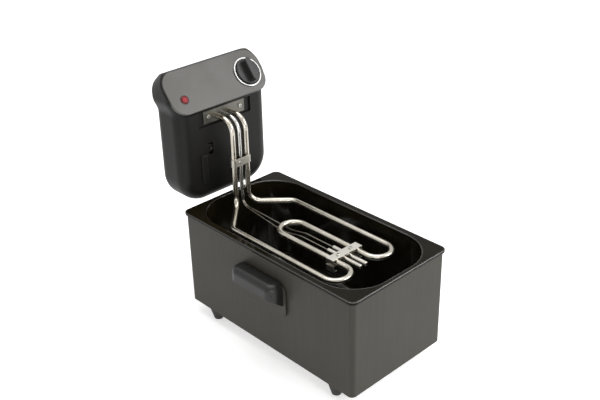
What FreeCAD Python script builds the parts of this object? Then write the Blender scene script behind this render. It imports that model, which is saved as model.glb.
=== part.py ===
import FreeCAD, Part
import math
import os
import re
import Sketcher

# Deep fryer: a lacquered steel housing with an enamelled oil tank, and a control head that lifts out
# upwards with its heating element. Every piece is drawn with the head seated on the housing; the placement
# of the head's pieces then raises them to the lifted position.
# X is across the housing, Y runs to the rear where the head hangs, Z is up from the floor.

V = FreeCAD.Vector
doc = FreeCAD.newDocument("deep_fryer")
sheet = doc.addObject("Spreadsheet::Sheet", "sz")

# Driving sizes, in millimetres and degrees
SIZES = [
    # housing sleeve, bottom plate and feet
    ("house_w", 177, "housing width"),
    ("house_l", 330, "housing length"),
    ("house_r", 7, "housing corner radius"),
    ("skin", 1, "housing sheet thickness"),
    ("rim_z", 170.8, "top of the tank flange above the floor"),
    ("foot_h", 22.5, "foot height"),
    ("foot_in", 14.5, "foot's distance from the housing's side"),
    ("foot_back", 42, "foot's distance from the housing's end"),
    ("foot_top", 13, "foot radius at the top"),
    ("foot_low", 6.5, "foot radius at the floor"),
    ("turn_in", 22, "width of the housing's turned-in bottom edge"),
    ("base_t", 1, "bottom plate thickness"),
    ("play", 0.3, "assembly clearance between fixed pieces"),
    # tank
    ("tank_side", 7.5, "gap between tank opening and housing side"),
    ("tank_end", 4, "gap between tank opening and housing end"),
    ("tank_r", 56, "tank corner radius in plan"),
    ("tank_floor", 32, "tank floor above the ground"),
    ("tank_bend", 16, "bend between tank wall and floor"),
    ("enamel", 1.2, "enamelled sheet thickness"),
    ("brim", 2.6, "overhang of the flange outside the housing"),
    ("brim_h", 3.9, "height of the flange's turned-down edge"),
    ("brim_r", 9.5, "flange corner radius"),
    # handles
    ("grip_l", 86, "grip length"),
    ("grip_out", 21, "grip reach from its shield"),
    ("grip_down", 27.3, "top of the grip below the rim"),
    ("grip_lip", 19.5, "height of the grip's front"),
    ("grip_drop", 35, "height of the grip's ends at the shield"),
    ("grip_t", 3, "grip wall"),
    ("grip_roof", 6, "grip roof"),
    ("shield_l", 95, "shield length"),
    ("shield_down", 82.3, "bottom of the shield below the rim"),
    ("shield_t", 1.2, "shield sheet"),
    ("shield_off", 2.4, "gap between shield and housing wall"),
    ("shield_r", 12, "shield corner radius"),
    ("grip_screw_y", 34, "grip screw position along"),
    ("grip_screw_down", 40.8, "grip screws below the rim"),
    # screws
    ("m4_r", 2, "shank radius of the larger screws"),
    ("m4_head", 3.7, "head radius of the larger screws"),
    ("m4_high", 2.2, "head height of the larger screws"),
    ("m3_r", 1.5, "shank radius of the smaller screws"),
    ("m3_head", 2.9, "head radius of the smaller screws"),
    ("m3_high", 1.8, "head height of the smaller screws"),
    ("hole_gap", 0.15, "clearance round a screw shank"),
    # control head
    ("lift", 112, "how far the head stands above its seat"),
    ("head_gap", 6, "gap between housing and head"),
    ("head_d", 60, "depth of the head's lower case"),
    ("panel_share", 1.1, "panel length up the slope, as a share of the head's depth"),
    ("crown_over", 10, "top cover's reach up the slope beyond the panel"),
    ("head_half", 80.5, "half width of the head's lower case"),
    ("head_down", 115.3, "bottom of the seated head below the rim"),
    ("head_r", 40, "bottom corner radius of the lower case"),
    ("head_edge", 18, "rounding of the lower case's edges"),
    ("split_up", 23.2, "joint between lower case and top cover, above the rim"),
    ("face_d", 24, "depth of the front cover"),
    ("wall", 2.4, "plastic wall"),
    ("top_half", 88, "half width of the top cover"),
    ("flare_up", 47.2, "where the top cover reaches full width, above the rim"),
    ("crown_r", 36, "corner radius of the top cover's back, seen along the slope"),
    ("panel_lip", 5.5, "reach of the panel's front edge over the case"),
    ("panel_up", 29.7, "panel's front edge above the rim"),
    ("panel_tilt", 51.5, "panel slope"),
    ("panel_half", 85, "panel half width"),
    ("panel_r", 22, "panel corner radius"),
    ("panel_t", 3, "panel thickness"),
    # guide rib and switch opening on the front cover
    ("rib_x", -43, "guide rib position"),
    ("rib_w", 10, "guide rib width"),
    ("rib_down", 85.3, "bottom of the guide rib below the rim"),
    ("rib_h", 44, "guide rib height"),
    ("rib_out", 2.8, "guide rib reach"),
    ("rib_r", 2, "guide rib corner radius"),
    ("guide_low", 10, "head guide's reach below the rib"),
    ("guide_high", 12, "head guide's reach above the switch"),
    ("guide_near", 14, "guide plate's reach to the left of the rib"),
    ("guide_far", 26, "guide plate's reach to the right of the rib"),
    ("rivet_near", 8, "near rivets' distance from the rib and the ends"),
    ("rivet_far", 20, "far rivets' distance from the rib"),
    ("guide_gap", 0.6, "running gap in the head guide"),
    ("switch_x", -29, "switch opening position"),
    ("switch_down", 34.8, "switch plunger below the rim"),
    ("switch_hw", 4, "half width of the switch opening"),
    ("switch_hh", 9, "half height of the switch opening"),
    ("plunger_r", 2, "plunger radius"),
    ("plunger_out", 1.2, "plunger reach beyond the cover"),
    ("plunger_go", 1.2, "plunger travel"),
    ("switch_w", 20, "switch width"),
    ("switch_h", 11, "switch height"),
    ("switch_d", 16, "switch depth"),
    ("plunger_in", 6, "plunger's length inside the switch"),
    # element bracket
    ("seat_half", 48, "half width of the bracket's recess"),
    ("seat_up", 0.2, "bottom of the bracket's recess above the rim"),
    ("seat_d", 3, "depth of the bracket's recess"),
    ("plate_half", 37.5, "half width of the element bracket"),
    ("plate_up", 3.7, "bottom of the element bracket above the rim"),
    ("plate_t", 1.5, "bracket plate thickness"),
    ("boss_l", 8, "length of the bracket's screw bosses"),
    ("boss_grip", 6, "length of a bracket screw in its boss"),
    ("plate_screw_x", 29, "bracket screw position"),
    ("plate_screw_up", 13.7, "bracket screws above the rim"),
    # heating element
    ("tube_r", 4, "heating tube radius"),
    ("leg_x", 12, "leg position across"),
    ("leg_back", 23, "legs' distance from the housing's end"),
    ("leg_up", 9.7, "where the legs enter the head, above the rim"),
    ("leg_in", 24, "length of the legs inside the head"),
    ("leg_bend", 20, "bend at the top of the legs"),
    ("pin_l", 16, "length of the element's pins"),
    ("block_gap", 6, "gap between the legs' ends and the terminal block"),
    ("block_h", 18, "terminal block height"),
    ("socket_d", 12, "depth of the terminal block's sockets"),
    ("coil_up", 13.5, "coil above the tank's floor"),
    ("coil_in", 20, "inner runs, distance from the middle"),
    ("coil_end", 57, "coil's distance from the housing's front"),
    ("coil_turn", 113, "coil's back turn from the housing's end"),
    ("foot_bend", 18, "bend at the foot of the legs"),
    ("guide_r", 3, "sensor guide tube radius"),
    ("guide_up", 20.5, "lower end of the sensor guide tube above the tank's floor"),
    ("wire_r", 0.8, "capillary radius"),
    ("wire_up", 30, "length of a capillary up the guide tube"),
    ("wire_drop", 8, "drop of a capillary below the guide tube"),
    ("wire_bend", 14, "bend of a capillary below the guide tube"),
    ("wire_sweep", 30, "bends of a capillary under the coil"),
    ("wire_dip", 10, "where a capillary dips under the back turn"),
    ("wire_rise", 12, "where it begins to rise again"),
    ("wire_climb", 40, "where it reaches its bulb's height"),
    ("bulb_r", 3, "sensor bulb radius"),
    ("bulb_x", 5, "sensor bulb position across"),
    ("bulb_l", 62, "sensor bulb length"),
    ("bulb_in", 125, "back end of the bulbs from the housing's front"),
    ("clamp_in", 99, "coil clamp from the housing's front"),
    ("clamp_w", 13, "coil clamp width"),
    ("clamp_half", 28, "half length of the coil clamp"),
    ("clamp_t", 1.2, "clamp sheet"),
    ("clamp_screw", 12, "coil clamp screw position"),
    ("strap_down", 54.3, "leg strap below the rim"),
    ("strap_h", 12, "leg strap width"),
    ("strap_t", 1.2, "leg strap sheet"),
    ("fit", 0.1, "gap between held pieces"),
    # knob and lamp
    ("knob_x", 57, "knob position across"),
    ("knob_v", 31, "knob position up the panel"),
    ("knob_r", 19.6, "knob radius at its foot"),
    ("knob_h", 15, "knob height"),
    ("bezel_r", 22.8, "bezel outer radius"),
    ("bezel_w", 2.6, "bezel width"),
    ("bezel_h", 2.2, "bezel height"),
    ("shaft_r", 3, "thermostat shaft radius"),
    ("thermo_w", 32, "thermostat width"),
    ("thermo_l", 28, "thermostat length up the slope"),
    ("thermo_h", 20, "thermostat height"),
    ("thermo_r", 3, "thermostat corner radius"),
    ("tag_l", 7, "length of the thermostat's tags"),
    ("tag_w", 4, "width of the thermostat's tags"),
    ("run_gap", 0.08, "running clearance of a shaft"),
    ("lamp_x", -62, "lamp position across"),
    ("lamp_v", 22, "lamp position up the panel"),
    ("lamp_r", 5.4, "lamp lens radius"),
    ("lamp_rim", 1.2, "width of the lamp's rim"),
    ("holder_l", 16, "lamp holder length"),
    # parts at the back of the head
    ("reset_x", 30, "reset button position"),
    ("reset_z", 122, "reset button height"),
    ("reset_r", 3.5, "reset button radius"),
    ("reset_out", 2.4, "reset button reach"),
    ("cutout_w", 24, "thermal cut-out width"),
    ("cutout_d", 20, "thermal cut-out depth"),
    ("cutout_r", 3, "thermal cut-out corner radius"),
    ("stem_in", 5, "button's length inside the cut-out"),
    ("reset_go", 2, "reset button travel"),
    ("gland_x", -38, "cord gland position"),
    ("gland_z", 82, "cord gland height"),
    ("gland_r", 7, "cord gland radius"),
    ("gland_in", 8, "gland's reach inside the back wall"),
    ("gland_rim", 3, "width of the gland's collar"),
    ("cord_r", 3.8, "bore of the cord gland"),
    ("post_x", 58, "cover screw position across"),
    ("post_low", 94, "lower cover screw height"),
    ("sleeve_l", 6, "length of the sleeves that meet the posts"),
    ("post_hole", 14, "depth of the screw holes in the posts"),
    ("post_grip", 12, "length of a cover screw in its post"),
    ("post_high", 168, "upper cover screw height"),
]
for row, (alias, value, note) in enumerate(SIZES, start=1):
    sheet.set("A%d" % row, note)
    sheet.set("B%d" % row, str(value))
    sheet.setAlias("B%d" % row, alias)
doc.recompute()


# Places and lengths that follow from the housing's length and width, its rim, the tank's floor and the
# head's depth; a formula may use a later line
FOLLOWS = {
    "crown_l": "sz.panel_l + sz.crown_over",
    "roof_r": "sz.panel_l / 3",
    "panel_l": "sz.head_d * sz.panel_share",
    "tank_w": "sz.house_w - 2 * sz.tank_side",
    "tank_l": "sz.house_l - 2 * sz.tank_end",
    "foot_x": "sz.house_w / 2 - sz.foot_in",
    "foot_y": "sz.house_l / 2 - sz.foot_back",
    "grip_z": "sz.rim_z - sz.grip_down",
    "shield_z": "sz.rim_z - sz.shield_down",
    "grip_screw_z": "sz.rim_z - sz.grip_screw_down",
    "head_y": "sz.house_l / 2 + sz.head_gap",
    "head_z": "sz.rim_z - sz.head_down",
    "head_split": "sz.rim_z + sz.split_up",
    "flare_z": "sz.rim_z + sz.flare_up",
    "panel_y": "sz.house_l / 2 + sz.head_gap - sz.panel_lip",
    "panel_z": "sz.rim_z + sz.panel_up",
    "rib_z": "sz.rim_z - sz.rib_down",
    "switch_z": "sz.rim_z - sz.switch_down",
    "seat_z": "sz.rim_z + sz.seat_up",
    "plate_z": "sz.rim_z + sz.plate_up",
    "plate_screw_z": "sz.rim_z + sz.plate_screw_up",
    "leg_y": "sz.house_l / 2 - sz.leg_back",
    "leg_z": "sz.rim_z + sz.leg_up",
    "coil_z": "sz.tank_floor + sz.coil_up",
    "coil_front": "sz.house_l / 2 - sz.coil_end",
    "coil_back": "sz.house_l / 2 - sz.coil_turn",
    "guide_end": "sz.tank_floor + sz.guide_up",
    "bulb_back": "sz.house_l / 2 - sz.bulb_in",
    "clamp_y": "sz.house_l / 2 - sz.clamp_in",
    "strap_z": "sz.rim_z - sz.strap_down",
}


def full(expression):
    """The expression with every place that follows from the sizes written out."""
    for alias, formula in FOLLOWS.items():
        expression = re.sub(r"\bsz\.%s\b" % alias, "(%s)" % formula, expression)
    return expression


def bind(item, key, expression):
    """Tie a property to the sizes."""
    item.setExpression(key, full(expression))


def num(expression):
    """Value of an expression of the sizes."""
    value = sheet.evalExpression(full(str(expression)))
    return float(getattr(value, "Value", value))


# Sums of sizes used by several pieces
THERMO_TOP = "(-sz.panel_t - sz.wall)"
THERMO_LOW = "(-sz.panel_t - sz.wall - sz.thermo_h)"
MID_BACK = "(sz.head_y + sz.head_d)"
CASE_BACK = "(sz.head_y + sz.head_d - sz.wall)"
COVER_IN = "(sz.head_y + sz.wall)"
SEAM = "(sz.head_y + sz.face_d)"
SEAT_FLOOR = "(sz.head_y + sz.seat_d)"
SHIELD_FACE = "(sz.house_w / 2 + sz.shield_off + sz.shield_t)"
SHELL_TOP = "(sz.rim_z - sz.enamel)"
SLOPE_C = "cos(sz.panel_tilt * 1deg)"
SLOPE_S = "sin(sz.panel_tilt * 1deg)"
# the whole appliance is centred on the origin between the flange's front and the tip of the reset button
FRAME_Y = "((%s + sz.reset_out) - (sz.house_l / 2 + sz.brim)) / 2" % MID_BACK
OUTER_COIL = "(3 * sz.coil_in)"


# Drawing helpers
def new_body(name):
    return doc.addObject("PartDesign::Body", name)


def step_to(corner, target, radius):
    """Point at a radius from a corner along the side that runs to the target."""
    x, y = corner
    along_x = num(target[0]) - num(x)
    along_y = num(target[1]) - num(y)
    if abs(along_x) > abs(along_y):
        return ("(%s) %s (%s)" % (x, "+" if along_x > 0 else "-", radius), y)
    return (x, "(%s) %s (%s)" % (y, "+" if along_y > 0 else "-", radius))


def fix_point(sketch, geometry, position, x, y):
    for kind, expression in (("DistanceX", x), ("DistanceY", y)):
        item = Sketcher.Constraint(kind, -1, 1, geometry, position, num(expression))
        index = sketch.addConstraint(item)
        bind(sketch, "Constraints[%d]" % index, expression)


def fix_radius(sketch, geometry, radius):
    index = sketch.addConstraint(Sketcher.Constraint("Radius", geometry, num(radius)))
    bind(sketch, "Constraints[%d]" % index, radius)


def draw_disc(sketch, x, y, radius):
    circle = Part.Circle(V(num(x), num(y), 0), V(0, 0, 1), num(radius))
    geometry = sketch.addGeometry(circle, False)
    fix_point(sketch, geometry, 3, x, y)
    fix_radius(sketch, geometry, radius)


def draw_loop(sketch, corners):
    """Closed outline through corners (x, y) or right-angled rounded corners (x, y, radius)."""
    count = len(corners)
    points = []
    for i, corner in enumerate(corners):
        spot = corner[:2]
        if len(corner) == 2:
            points.append((spot, None, None))
            continue
        radius = corner[2]
        first = step_to(spot, corners[i - 1][:2], radius)
        second = step_to(spot, corners[(i + 1) % count][:2], radius)
        points.append((first, radius, spot))
        points.append((second, None, None))
    spots = [V(num(p[0][0]), num(p[0][1]), 0) for p in points]
    total = len(points)
    ends = []
    for i, (_, radius, corner) in enumerate(points):
        start = spots[i]
        stop = spots[(i + 1) % total]
        if radius is None:
            geometry = sketch.addGeometry(Part.LineSegment(start, stop), False)
            ends.append((geometry, 1, 2))
            continue
        elbow = V(num(corner[0]), num(corner[1]), 0)
        centre = start + stop - elbow
        turns_left = (elbow - start).cross(stop - elbow).z > 0
        first, second = (start, stop) if turns_left else (stop, start)
        angles = [math.atan2(p.y - centre.y, p.x - centre.x) for p in (first, second)]
        circle = Part.Circle(centre, V(0, 0, 1), num(radius))
        geometry = sketch.addGeometry(Part.ArcOfCircle(circle, angles[0], angles[1]), False)
        ends.append((geometry, 1, 2) if turns_left else (geometry, 2, 1))
    for i in range(total):
        after = ends[(i + 1) % total]
        here = ends[i]
        sketch.addConstraint(Sketcher.Constraint("Coincident", here[0], here[2], after[0], after[1]))
    for i, (spot, radius, _) in enumerate(points):
        fix_point(sketch, ends[i][0], ends[i][1], spot[0], spot[1])
        if radius is not None:
            fix_radius(sketch, ends[i][0], radius)


def new_sketch(body, name, plane, loops, level):
    """Sketch on an origin plane of the body at a level, or on the control panel's slope."""
    role = "XY_Plane" if plane == "SLOPE" else plane + "_Plane"
    support = [f for f in body.Origin.OriginFeatures if f.Role == role][0]
    sketch = body.newObject("Sketcher::SketchObject", name)
    sketch.AttachmentSupport = [(support, "")]
    sketch.MapMode = "FlatFace"
    if plane == "SLOPE":
        turn = FreeCAD.Rotation(V(1, 0, 0), num("sz.panel_tilt"))
        sketch.AttachmentOffset = FreeCAD.Placement(V(0, 0, 0), turn)
        bind(sketch, "AttachmentOffset.Rotation.Angle", "sz.panel_tilt * 1deg")
        bind(sketch, "AttachmentOffset.Base.y", "sz.panel_y - (%s) * %s" % (level, SLOPE_S))
        bind(sketch, "AttachmentOffset.Base.z", "sz.panel_z + (%s) * %s" % (level, SLOPE_C))
    else:
        bind(sketch, "AttachmentOffset.Base.z", "-(%s)" % level if plane == "XZ" else level)
    for loop in loops:
        if loop[0] == "disc":
            draw_disc(sketch, *loop[1:])
        else:
            draw_loop(sketch, loop)
    return sketch


def feature(body, kind, name, plane, loops, low, high):
    sketch = new_sketch(body, name + "_sketch", plane, loops, low)
    item = body.newObject("PartDesign::" + kind, name)
    item.Profile = sketch
    bind(item, "Length", "(%s) - (%s)" % (high, low))
    item.Reversed = (plane == "XZ") == (kind == "Pad")
    doc.recompute()
    return item


def pad(body, name, plane, loops, low, high):
    """Material between two levels along the plane's axis."""
    return feature(body, "Pad", name, plane, loops, low, high)


def pocket(body, name, plane, loops, low, high):
    """Material removed between two levels along the plane's axis."""
    before = body.Shape.Volume
    item = feature(body, "Pocket", name, plane, loops, low, high)
    if body.Shape.Volume > before - 1e-6:
        raise RuntimeError("nothing cut by " + name)
    return item


def soften(body, name, radius, chosen, kind="Fillet"):
    """Round the edges of the body that pass the test."""
    doc.recompute()
    base = body.Tip
    names = ["Edge%d" % (i + 1) for i, edge in enumerate(base.Shape.Edges) if chosen(edge)]
    if not names:
        raise RuntimeError("no edges for " + name)
    item = body.newObject("PartDesign::" + kind, name)
    item.Base = (base, names)
    bind(item, "Radius" if kind == "Fillet" else "Size", radius)
    doc.recompute()
    if "Invalid" in item.State or item.Shape.isNull():
        raise RuntimeError("edges not rounded: " + name)
    return item


def lies(edge, x=None, y=None, z=None):
    """True if every end of the edge and its middle lie at the given coordinates."""
    middle = edge.valueAt((edge.FirstParameter + edge.LastParameter) / 2)
    for spot in [v.Point for v in edge.Vertexes] + [middle]:
        for have, want in ((spot.x, x), (spot.y, y), (spot.z, z)):
            if want is not None and abs(have - num(want)) > 0.01:
                return False
    return True


def rectangle(x_low, y_low, x_high, y_high, radius=None):
    corners = [(x_low, y_low), (x_high, y_low), (x_high, y_high), (x_low, y_high)]
    return corners if radius is None else [c + (radius,) for c in corners]


def centred(width, length, radius=None):
    half_w = "(%s) / 2" % width
    half_l = "(%s) / 2" % length
    return rectangle("-(%s)" % half_w, "-(%s)" % half_l, half_w, half_l, radius)


SUBPARTS = []


def keep(item, label, on_head=False):
    """Name a finished piece and place it in the appliance's frame."""
    item.Label = label
    bind(item, "Placement.Base.y", "-(%s)" % FRAME_Y)
    if on_head:
        bind(item, "Placement.Base.z", "sz.lift")
    SUBPARTS.append((label, item))


def keep_shape(shape, label, on_head=False):
    """Keep a shape worked out from the sizes as a piece of its own."""
    item = doc.addObject("Part::Feature", label)
    item.Shape = shape
    keep(item, label, on_head)
    return item


def screw(radius, head_radius, head_height, length):
    """Pan-head screw, head upwards on the plane z = 0 and shank downwards."""
    body = new_body("screw_blank")
    pad(body, "shank", "XY", [("disc", "0", "0", radius)], "-(%s)" % length, "0")
    pad(body, "head", "XY", [("disc", "0", "0", head_radius)], "0", head_height)
    edge_round = "(%s) / 3" % head_height
    soften(body, "head_round", edge_round, lambda e: lies(e, z=head_height))
    return body.Shape.copy()


def group(blank, places):
    """Copies of one piece: each place is a position and the direction of its head."""
    shapes = []
    for spot, direction in places:
        turn = FreeCAD.Rotation(V(0, 0, 1), V(*direction))
        copy = blank.copy()
        copy.Placement = FreeCAD.Placement(V(*[num(c) for c in spot]), turn)
        shapes.append(copy)
    return Part.makeCompound(shapes)


# Housing sleeve: bent steel with a turned-in bottom edge and holes for the grips and the head guide
def make_housing():
    body = new_body("housing")
    inner_w = "sz.house_w - 2 * sz.skin"
    inner_l = "sz.house_l - 2 * sz.skin"
    inner_r = "sz.house_r - sz.skin"
    ledge = "sz.foot_h + sz.base_t"
    pad(body, "sleeve", "XY", [centred("sz.house_w", "sz.house_l", "sz.house_r")], "sz.foot_h", SHELL_TOP)
    pocket(body, "inside", "XY", [centred(inner_w, inner_l, inner_r)], ledge + " + sz.skin", SHELL_TOP)
    pocket(body, "plate_seat", "XY", [centred(inner_w, inner_l, inner_r)], "sz.foot_h", ledge)
    well = centred("sz.house_w - 2 * sz.turn_in", "sz.house_l - 2 * sz.turn_in", "sz.house_r")
    pocket(body, "base_opening", "XY", [well], ledge, ledge + " + sz.skin")
    hole = "sz.m4_r + sz.hole_gap"
    ends = ("-sz.grip_screw_y", "sz.grip_screw_y")
    grip_holes = [("disc", y, "sz.grip_screw_z", hole) for y in ends]
    pocket(body, "grip_holes", "YZ", grip_holes, "-sz.house_w / 2", "sz.house_w / 2")
    feet = [("disc", x, y, hole) for x in ("-sz.foot_x", "sz.foot_x") for y in ("-sz.foot_y", "sz.foot_y")]
    pocket(body, "foot_holes", "XY", feet, ledge, ledge + " + sz.skin")
    rivets = [("disc", x, z, "sz.m3_r + sz.fit") for x, z in RIVET_SPOTS]
    pocket(body, "rivet_holes", "XZ", rivets, "sz.house_l / 2 - sz.skin", "sz.house_l / 2")
    keep(body, "housing_shell")


# Bottom plate: closes the sleeve from below, with rows of air slots between the feet
def make_bottom_plate():
    body = new_body("bottom_plate_body")
    slack = "2 * (sz.skin + sz.play)"
    outline = centred("sz.house_w - " + slack, "sz.house_l - " + slack, "sz.house_r - sz.skin")
    pad(body, "plate", "XY", [outline], "sz.foot_h", "sz.foot_h + sz.base_t")
    hole = "sz.m4_r + sz.hole_gap"
    feet = [("disc", x, y, hole) for x in ("-sz.foot_x", "sz.foot_x") for y in ("-sz.foot_y", "sz.foot_y")]
    pocket(body, "foot_holes", "XY", feet, "sz.foot_h", "sz.foot_h + sz.base_t")
    slot_l = "sz.house_w / 4"
    slot_w = "sz.house_l / 80"
    first = "-sz.house_l / 5"
    slot = rectangle("-(%s)" % slot_l, first, slot_l, "%s + %s" % (first, slot_w))
    cut = pocket(body, "air_slot", "XY", [slot], "sz.foot_h", "sz.foot_h + sz.base_t")
    rows = body.newObject("PartDesign::LinearPattern", "air_slots")
    rows.Originals = [cut]
    rows.Direction = (cut.Profile[0], ["V_Axis"])
    bind(rows, "Length", "sz.house_l * 2 / 5")
    rows.Occurrences = 9
    body.Tip = rows
    doc.recompute()
    keep(body, "bottom_plate")


# Feet: tapered rubber, each held by a screw sunk in its end
FOOT_SINK = "sz.foot_h / 2"


def foot_spots():
    return [(x, y) for x in ("-sz.foot_x", "sz.foot_x") for y in ("-sz.foot_y", "sz.foot_y")]


def make_feet():
    body = new_body("foot_blank")
    sketch_points = [
        ("sz.m4_r + sz.hole_gap", FOOT_SINK),
        ("sz.m4_head + sz.play", FOOT_SINK),
        ("sz.m4_head + sz.play", "0"),
        ("sz.foot_low", "0"),
        ("sz.foot_top", "sz.foot_h"),
        ("sz.m4_r + sz.hole_gap", "sz.foot_h"),
    ]
    sketch = new_sketch(body, "foot_profile", "XZ", [sketch_points], "0")
    turn = body.newObject("PartDesign::Revolution", "foot_turned")
    turn.Profile = sketch
    turn.ReferenceAxis = (sketch, ["V_Axis"])
    turn.Angle = 360
    round_foot = 3 / 2 * math.pi * num("sz.foot_low")
    soften(body, "foot_edge", "sz.foot_low / 6", lambda e: lies(e, z="0") and e.Length > round_foot)
    blank = body.Shape.copy()
    keep_shape(group(blank, [((x, y, "0"), (0, 0, 1)) for x, y in foot_spots()]), "feet")
    length = "sz.foot_h - %s + sz.base_t + sz.skin + sz.m4_r" % FOOT_SINK
    blank = screw("sz.m4_r", "sz.m4_head", "sz.m4_high", length)
    places = [((x, y, FOOT_SINK), (0, 0, -1)) for x, y in foot_spots()]
    keep_shape(group(blank, places), "foot_screws")


# Oil tank: one deep-drawn enamelled pressing whose flange hangs on the housing's top edge
def make_tank():
    body = new_body("tank_body")
    flange_w = "sz.house_w + 2 * sz.brim"
    flange_l = "sz.house_l + 2 * sz.brim"
    brim_low = "sz.rim_z - sz.brim_h"
    pad(body, "flange", "XY", [centred(flange_w, flange_l, "sz.brim_r")], brim_low, "sz.rim_z")
    hollow = centred(flange_w + " - 2 * sz.enamel", flange_l + " - 2 * sz.enamel", "sz.brim_r - sz.enamel")
    pocket(body, "under_flange", "XY", [hollow], brim_low, SHELL_TOP)
    basin = centred("sz.tank_w + 2 * sz.enamel", "sz.tank_l + 2 * sz.enamel", "sz.tank_r + sz.enamel")
    pad(body, "basin", "XY", [basin], "sz.tank_floor - sz.enamel", SHELL_TOP)
    opening = centred("sz.tank_w", "sz.tank_l", "sz.tank_r")
    pocket(body, "hollow", "XY", [opening], "sz.tank_floor", "sz.rim_z")
    soften(body, "floor_bend", "sz.tank_bend", lambda e: lies(e, z="sz.tank_floor"))
    soften(body, "basin_bend", "sz.tank_bend + sz.enamel", lambda e: lies(e, z="sz.tank_floor - sz.enamel"))
    soften(body, "rim_round", "sz.enamel * 2 / 3", lambda e: lies(e, z="sz.rim_z"))
    keep(body, "tank")


# Handles: a hooded plastic grip on a sheet-metal shield that stands off the warm wall
def make_handle(side, label):
    wall = "%d * sz.house_w / 2" % side
    face = "%d * %s" % (side, SHIELD_FACE)
    inner = "%d * (%s - sz.shield_t)" % (side, SHIELD_FACE)
    ends = ("-sz.grip_screw_y", "sz.grip_screw_y")
    shield = new_body(label + "_shield_body")
    plate = rectangle("-sz.shield_l / 2", "sz.shield_z", "sz.shield_l / 2", "sz.grip_z - sz.grip_t",
                      "sz.shield_r")
    low, high = (inner, face) if side > 0 else (face, inner)
    pad(shield, "plate", "YZ", [plate], low, high)
    spacers = [("disc", y, "sz.grip_screw_z", "2.5 * sz.m4_r") for y in ends]
    low, high = (wall, inner) if side > 0 else (inner, wall)
    pad(shield, "spacers", "YZ", spacers, low, high)
    holes = [("disc", y, "sz.grip_screw_z", "sz.m4_r + sz.hole_gap") for y in ends]
    low, high = (wall, face) if side > 0 else (face, wall)
    pocket(shield, "screw_holes", "YZ", holes, low, high)
    keep(shield, label + "_handle_shield")

    grip = new_body(label + "_grip_body")
    nose = "%d * (%s + sz.grip_out)" % (side, SHIELD_FACE)
    section = [
        (face, "sz.grip_z - sz.grip_drop"),
        (nose, "sz.grip_z - sz.grip_lip"),
        (nose, "sz.grip_z"),
        (face, "sz.grip_z"),
    ]
    pad(grip, "hood", "XZ", [section], "-sz.grip_l / 2", "sz.grip_l / 2")
    half = num("sz.grip_l / 2")
    soften(grip, "ends", "sz.grip_out * 2 / 3",
           lambda e: lies(e, x=nose) and abs(abs(e.CenterOfMass.y) - half) < 0.01)
    top_edges = lambda e: lies(e, z="sz.grip_z") and not lies(e, x=face)
    soften(grip, "crown", "sz.grip_out * 3 / 7", top_edges)
    reach = "%d * (%s + sz.grip_out - sz.grip_t)" % (side, SHIELD_FACE)
    bevel = "%d * (%s + sz.grip_out - sz.grip_t - sz.grip_out * 3 / 8)" % (side, SHIELD_FACE)
    inside = "(sz.grip_l / 2 - sz.grip_t)"
    near = "(sz.grip_l / 2 - sz.grip_t - sz.grip_out * 3 / 8)"
    hollow = [(face, "-" + inside), (bevel, "-" + inside), (reach, "-" + near),
              (reach, near), (bevel, inside), (face, inside)]
    pocket(grip, "finger_space", "XY", [hollow], "sz.grip_z - sz.grip_drop", "sz.grip_z - sz.grip_roof")
    low, high = (face, reach) if side > 0 else (reach, face)
    bosses = [("disc", y, "sz.grip_screw_z", "2.5 * sz.m4_r") for y in ends]
    pad(grip, "bosses", "YZ", bosses, low, high)
    deep = "%d * (%s + sz.grip_out / 2)" % (side, SHIELD_FACE)
    low, high = (face, deep) if side > 0 else (deep, face)
    pocket(grip, "boss_holes", "YZ", holes, low, high)
    keep(grip, label + "_handle")


def make_handle_screws():
    length = "sz.skin + sz.shield_off + sz.shield_t + sz.grip_out / 2 - sz.fit"
    blank = screw("sz.m4_r", "sz.m4_head", "sz.m4_high", length)
    places = []
    for side in (-1, 1):
        for y in ("-sz.grip_screw_y", "sz.grip_screw_y"):
            places.append((("%d * (sz.house_w / 2 - sz.skin)" % side, y, "sz.grip_screw_z"), (-side, 0, 0)))
    keep_shape(group(blank, places), "handle_screws")


# Head guide: a folded channel riveted to the rear wall, in which the head's rib runs up and down
GUIDE_LOW = "(sz.rib_z - sz.guide_low)"
GUIDE_HIGH = "(sz.switch_z + sz.guide_high)"
GUIDE_T = "1.5"
RIVET_X = ("(sz.rib_x - sz.rib_w / 2 - sz.rivet_near)", "(sz.rib_x + sz.rib_w / 2 + sz.rivet_far)")
RIVET_Z = ("(%s + sz.rivet_near)" % GUIDE_LOW, "(%s - sz.rivet_near)" % GUIDE_HIGH)
RIVET_SPOTS = [(x, z) for x in RIVET_X for z in RIVET_Z]


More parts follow.
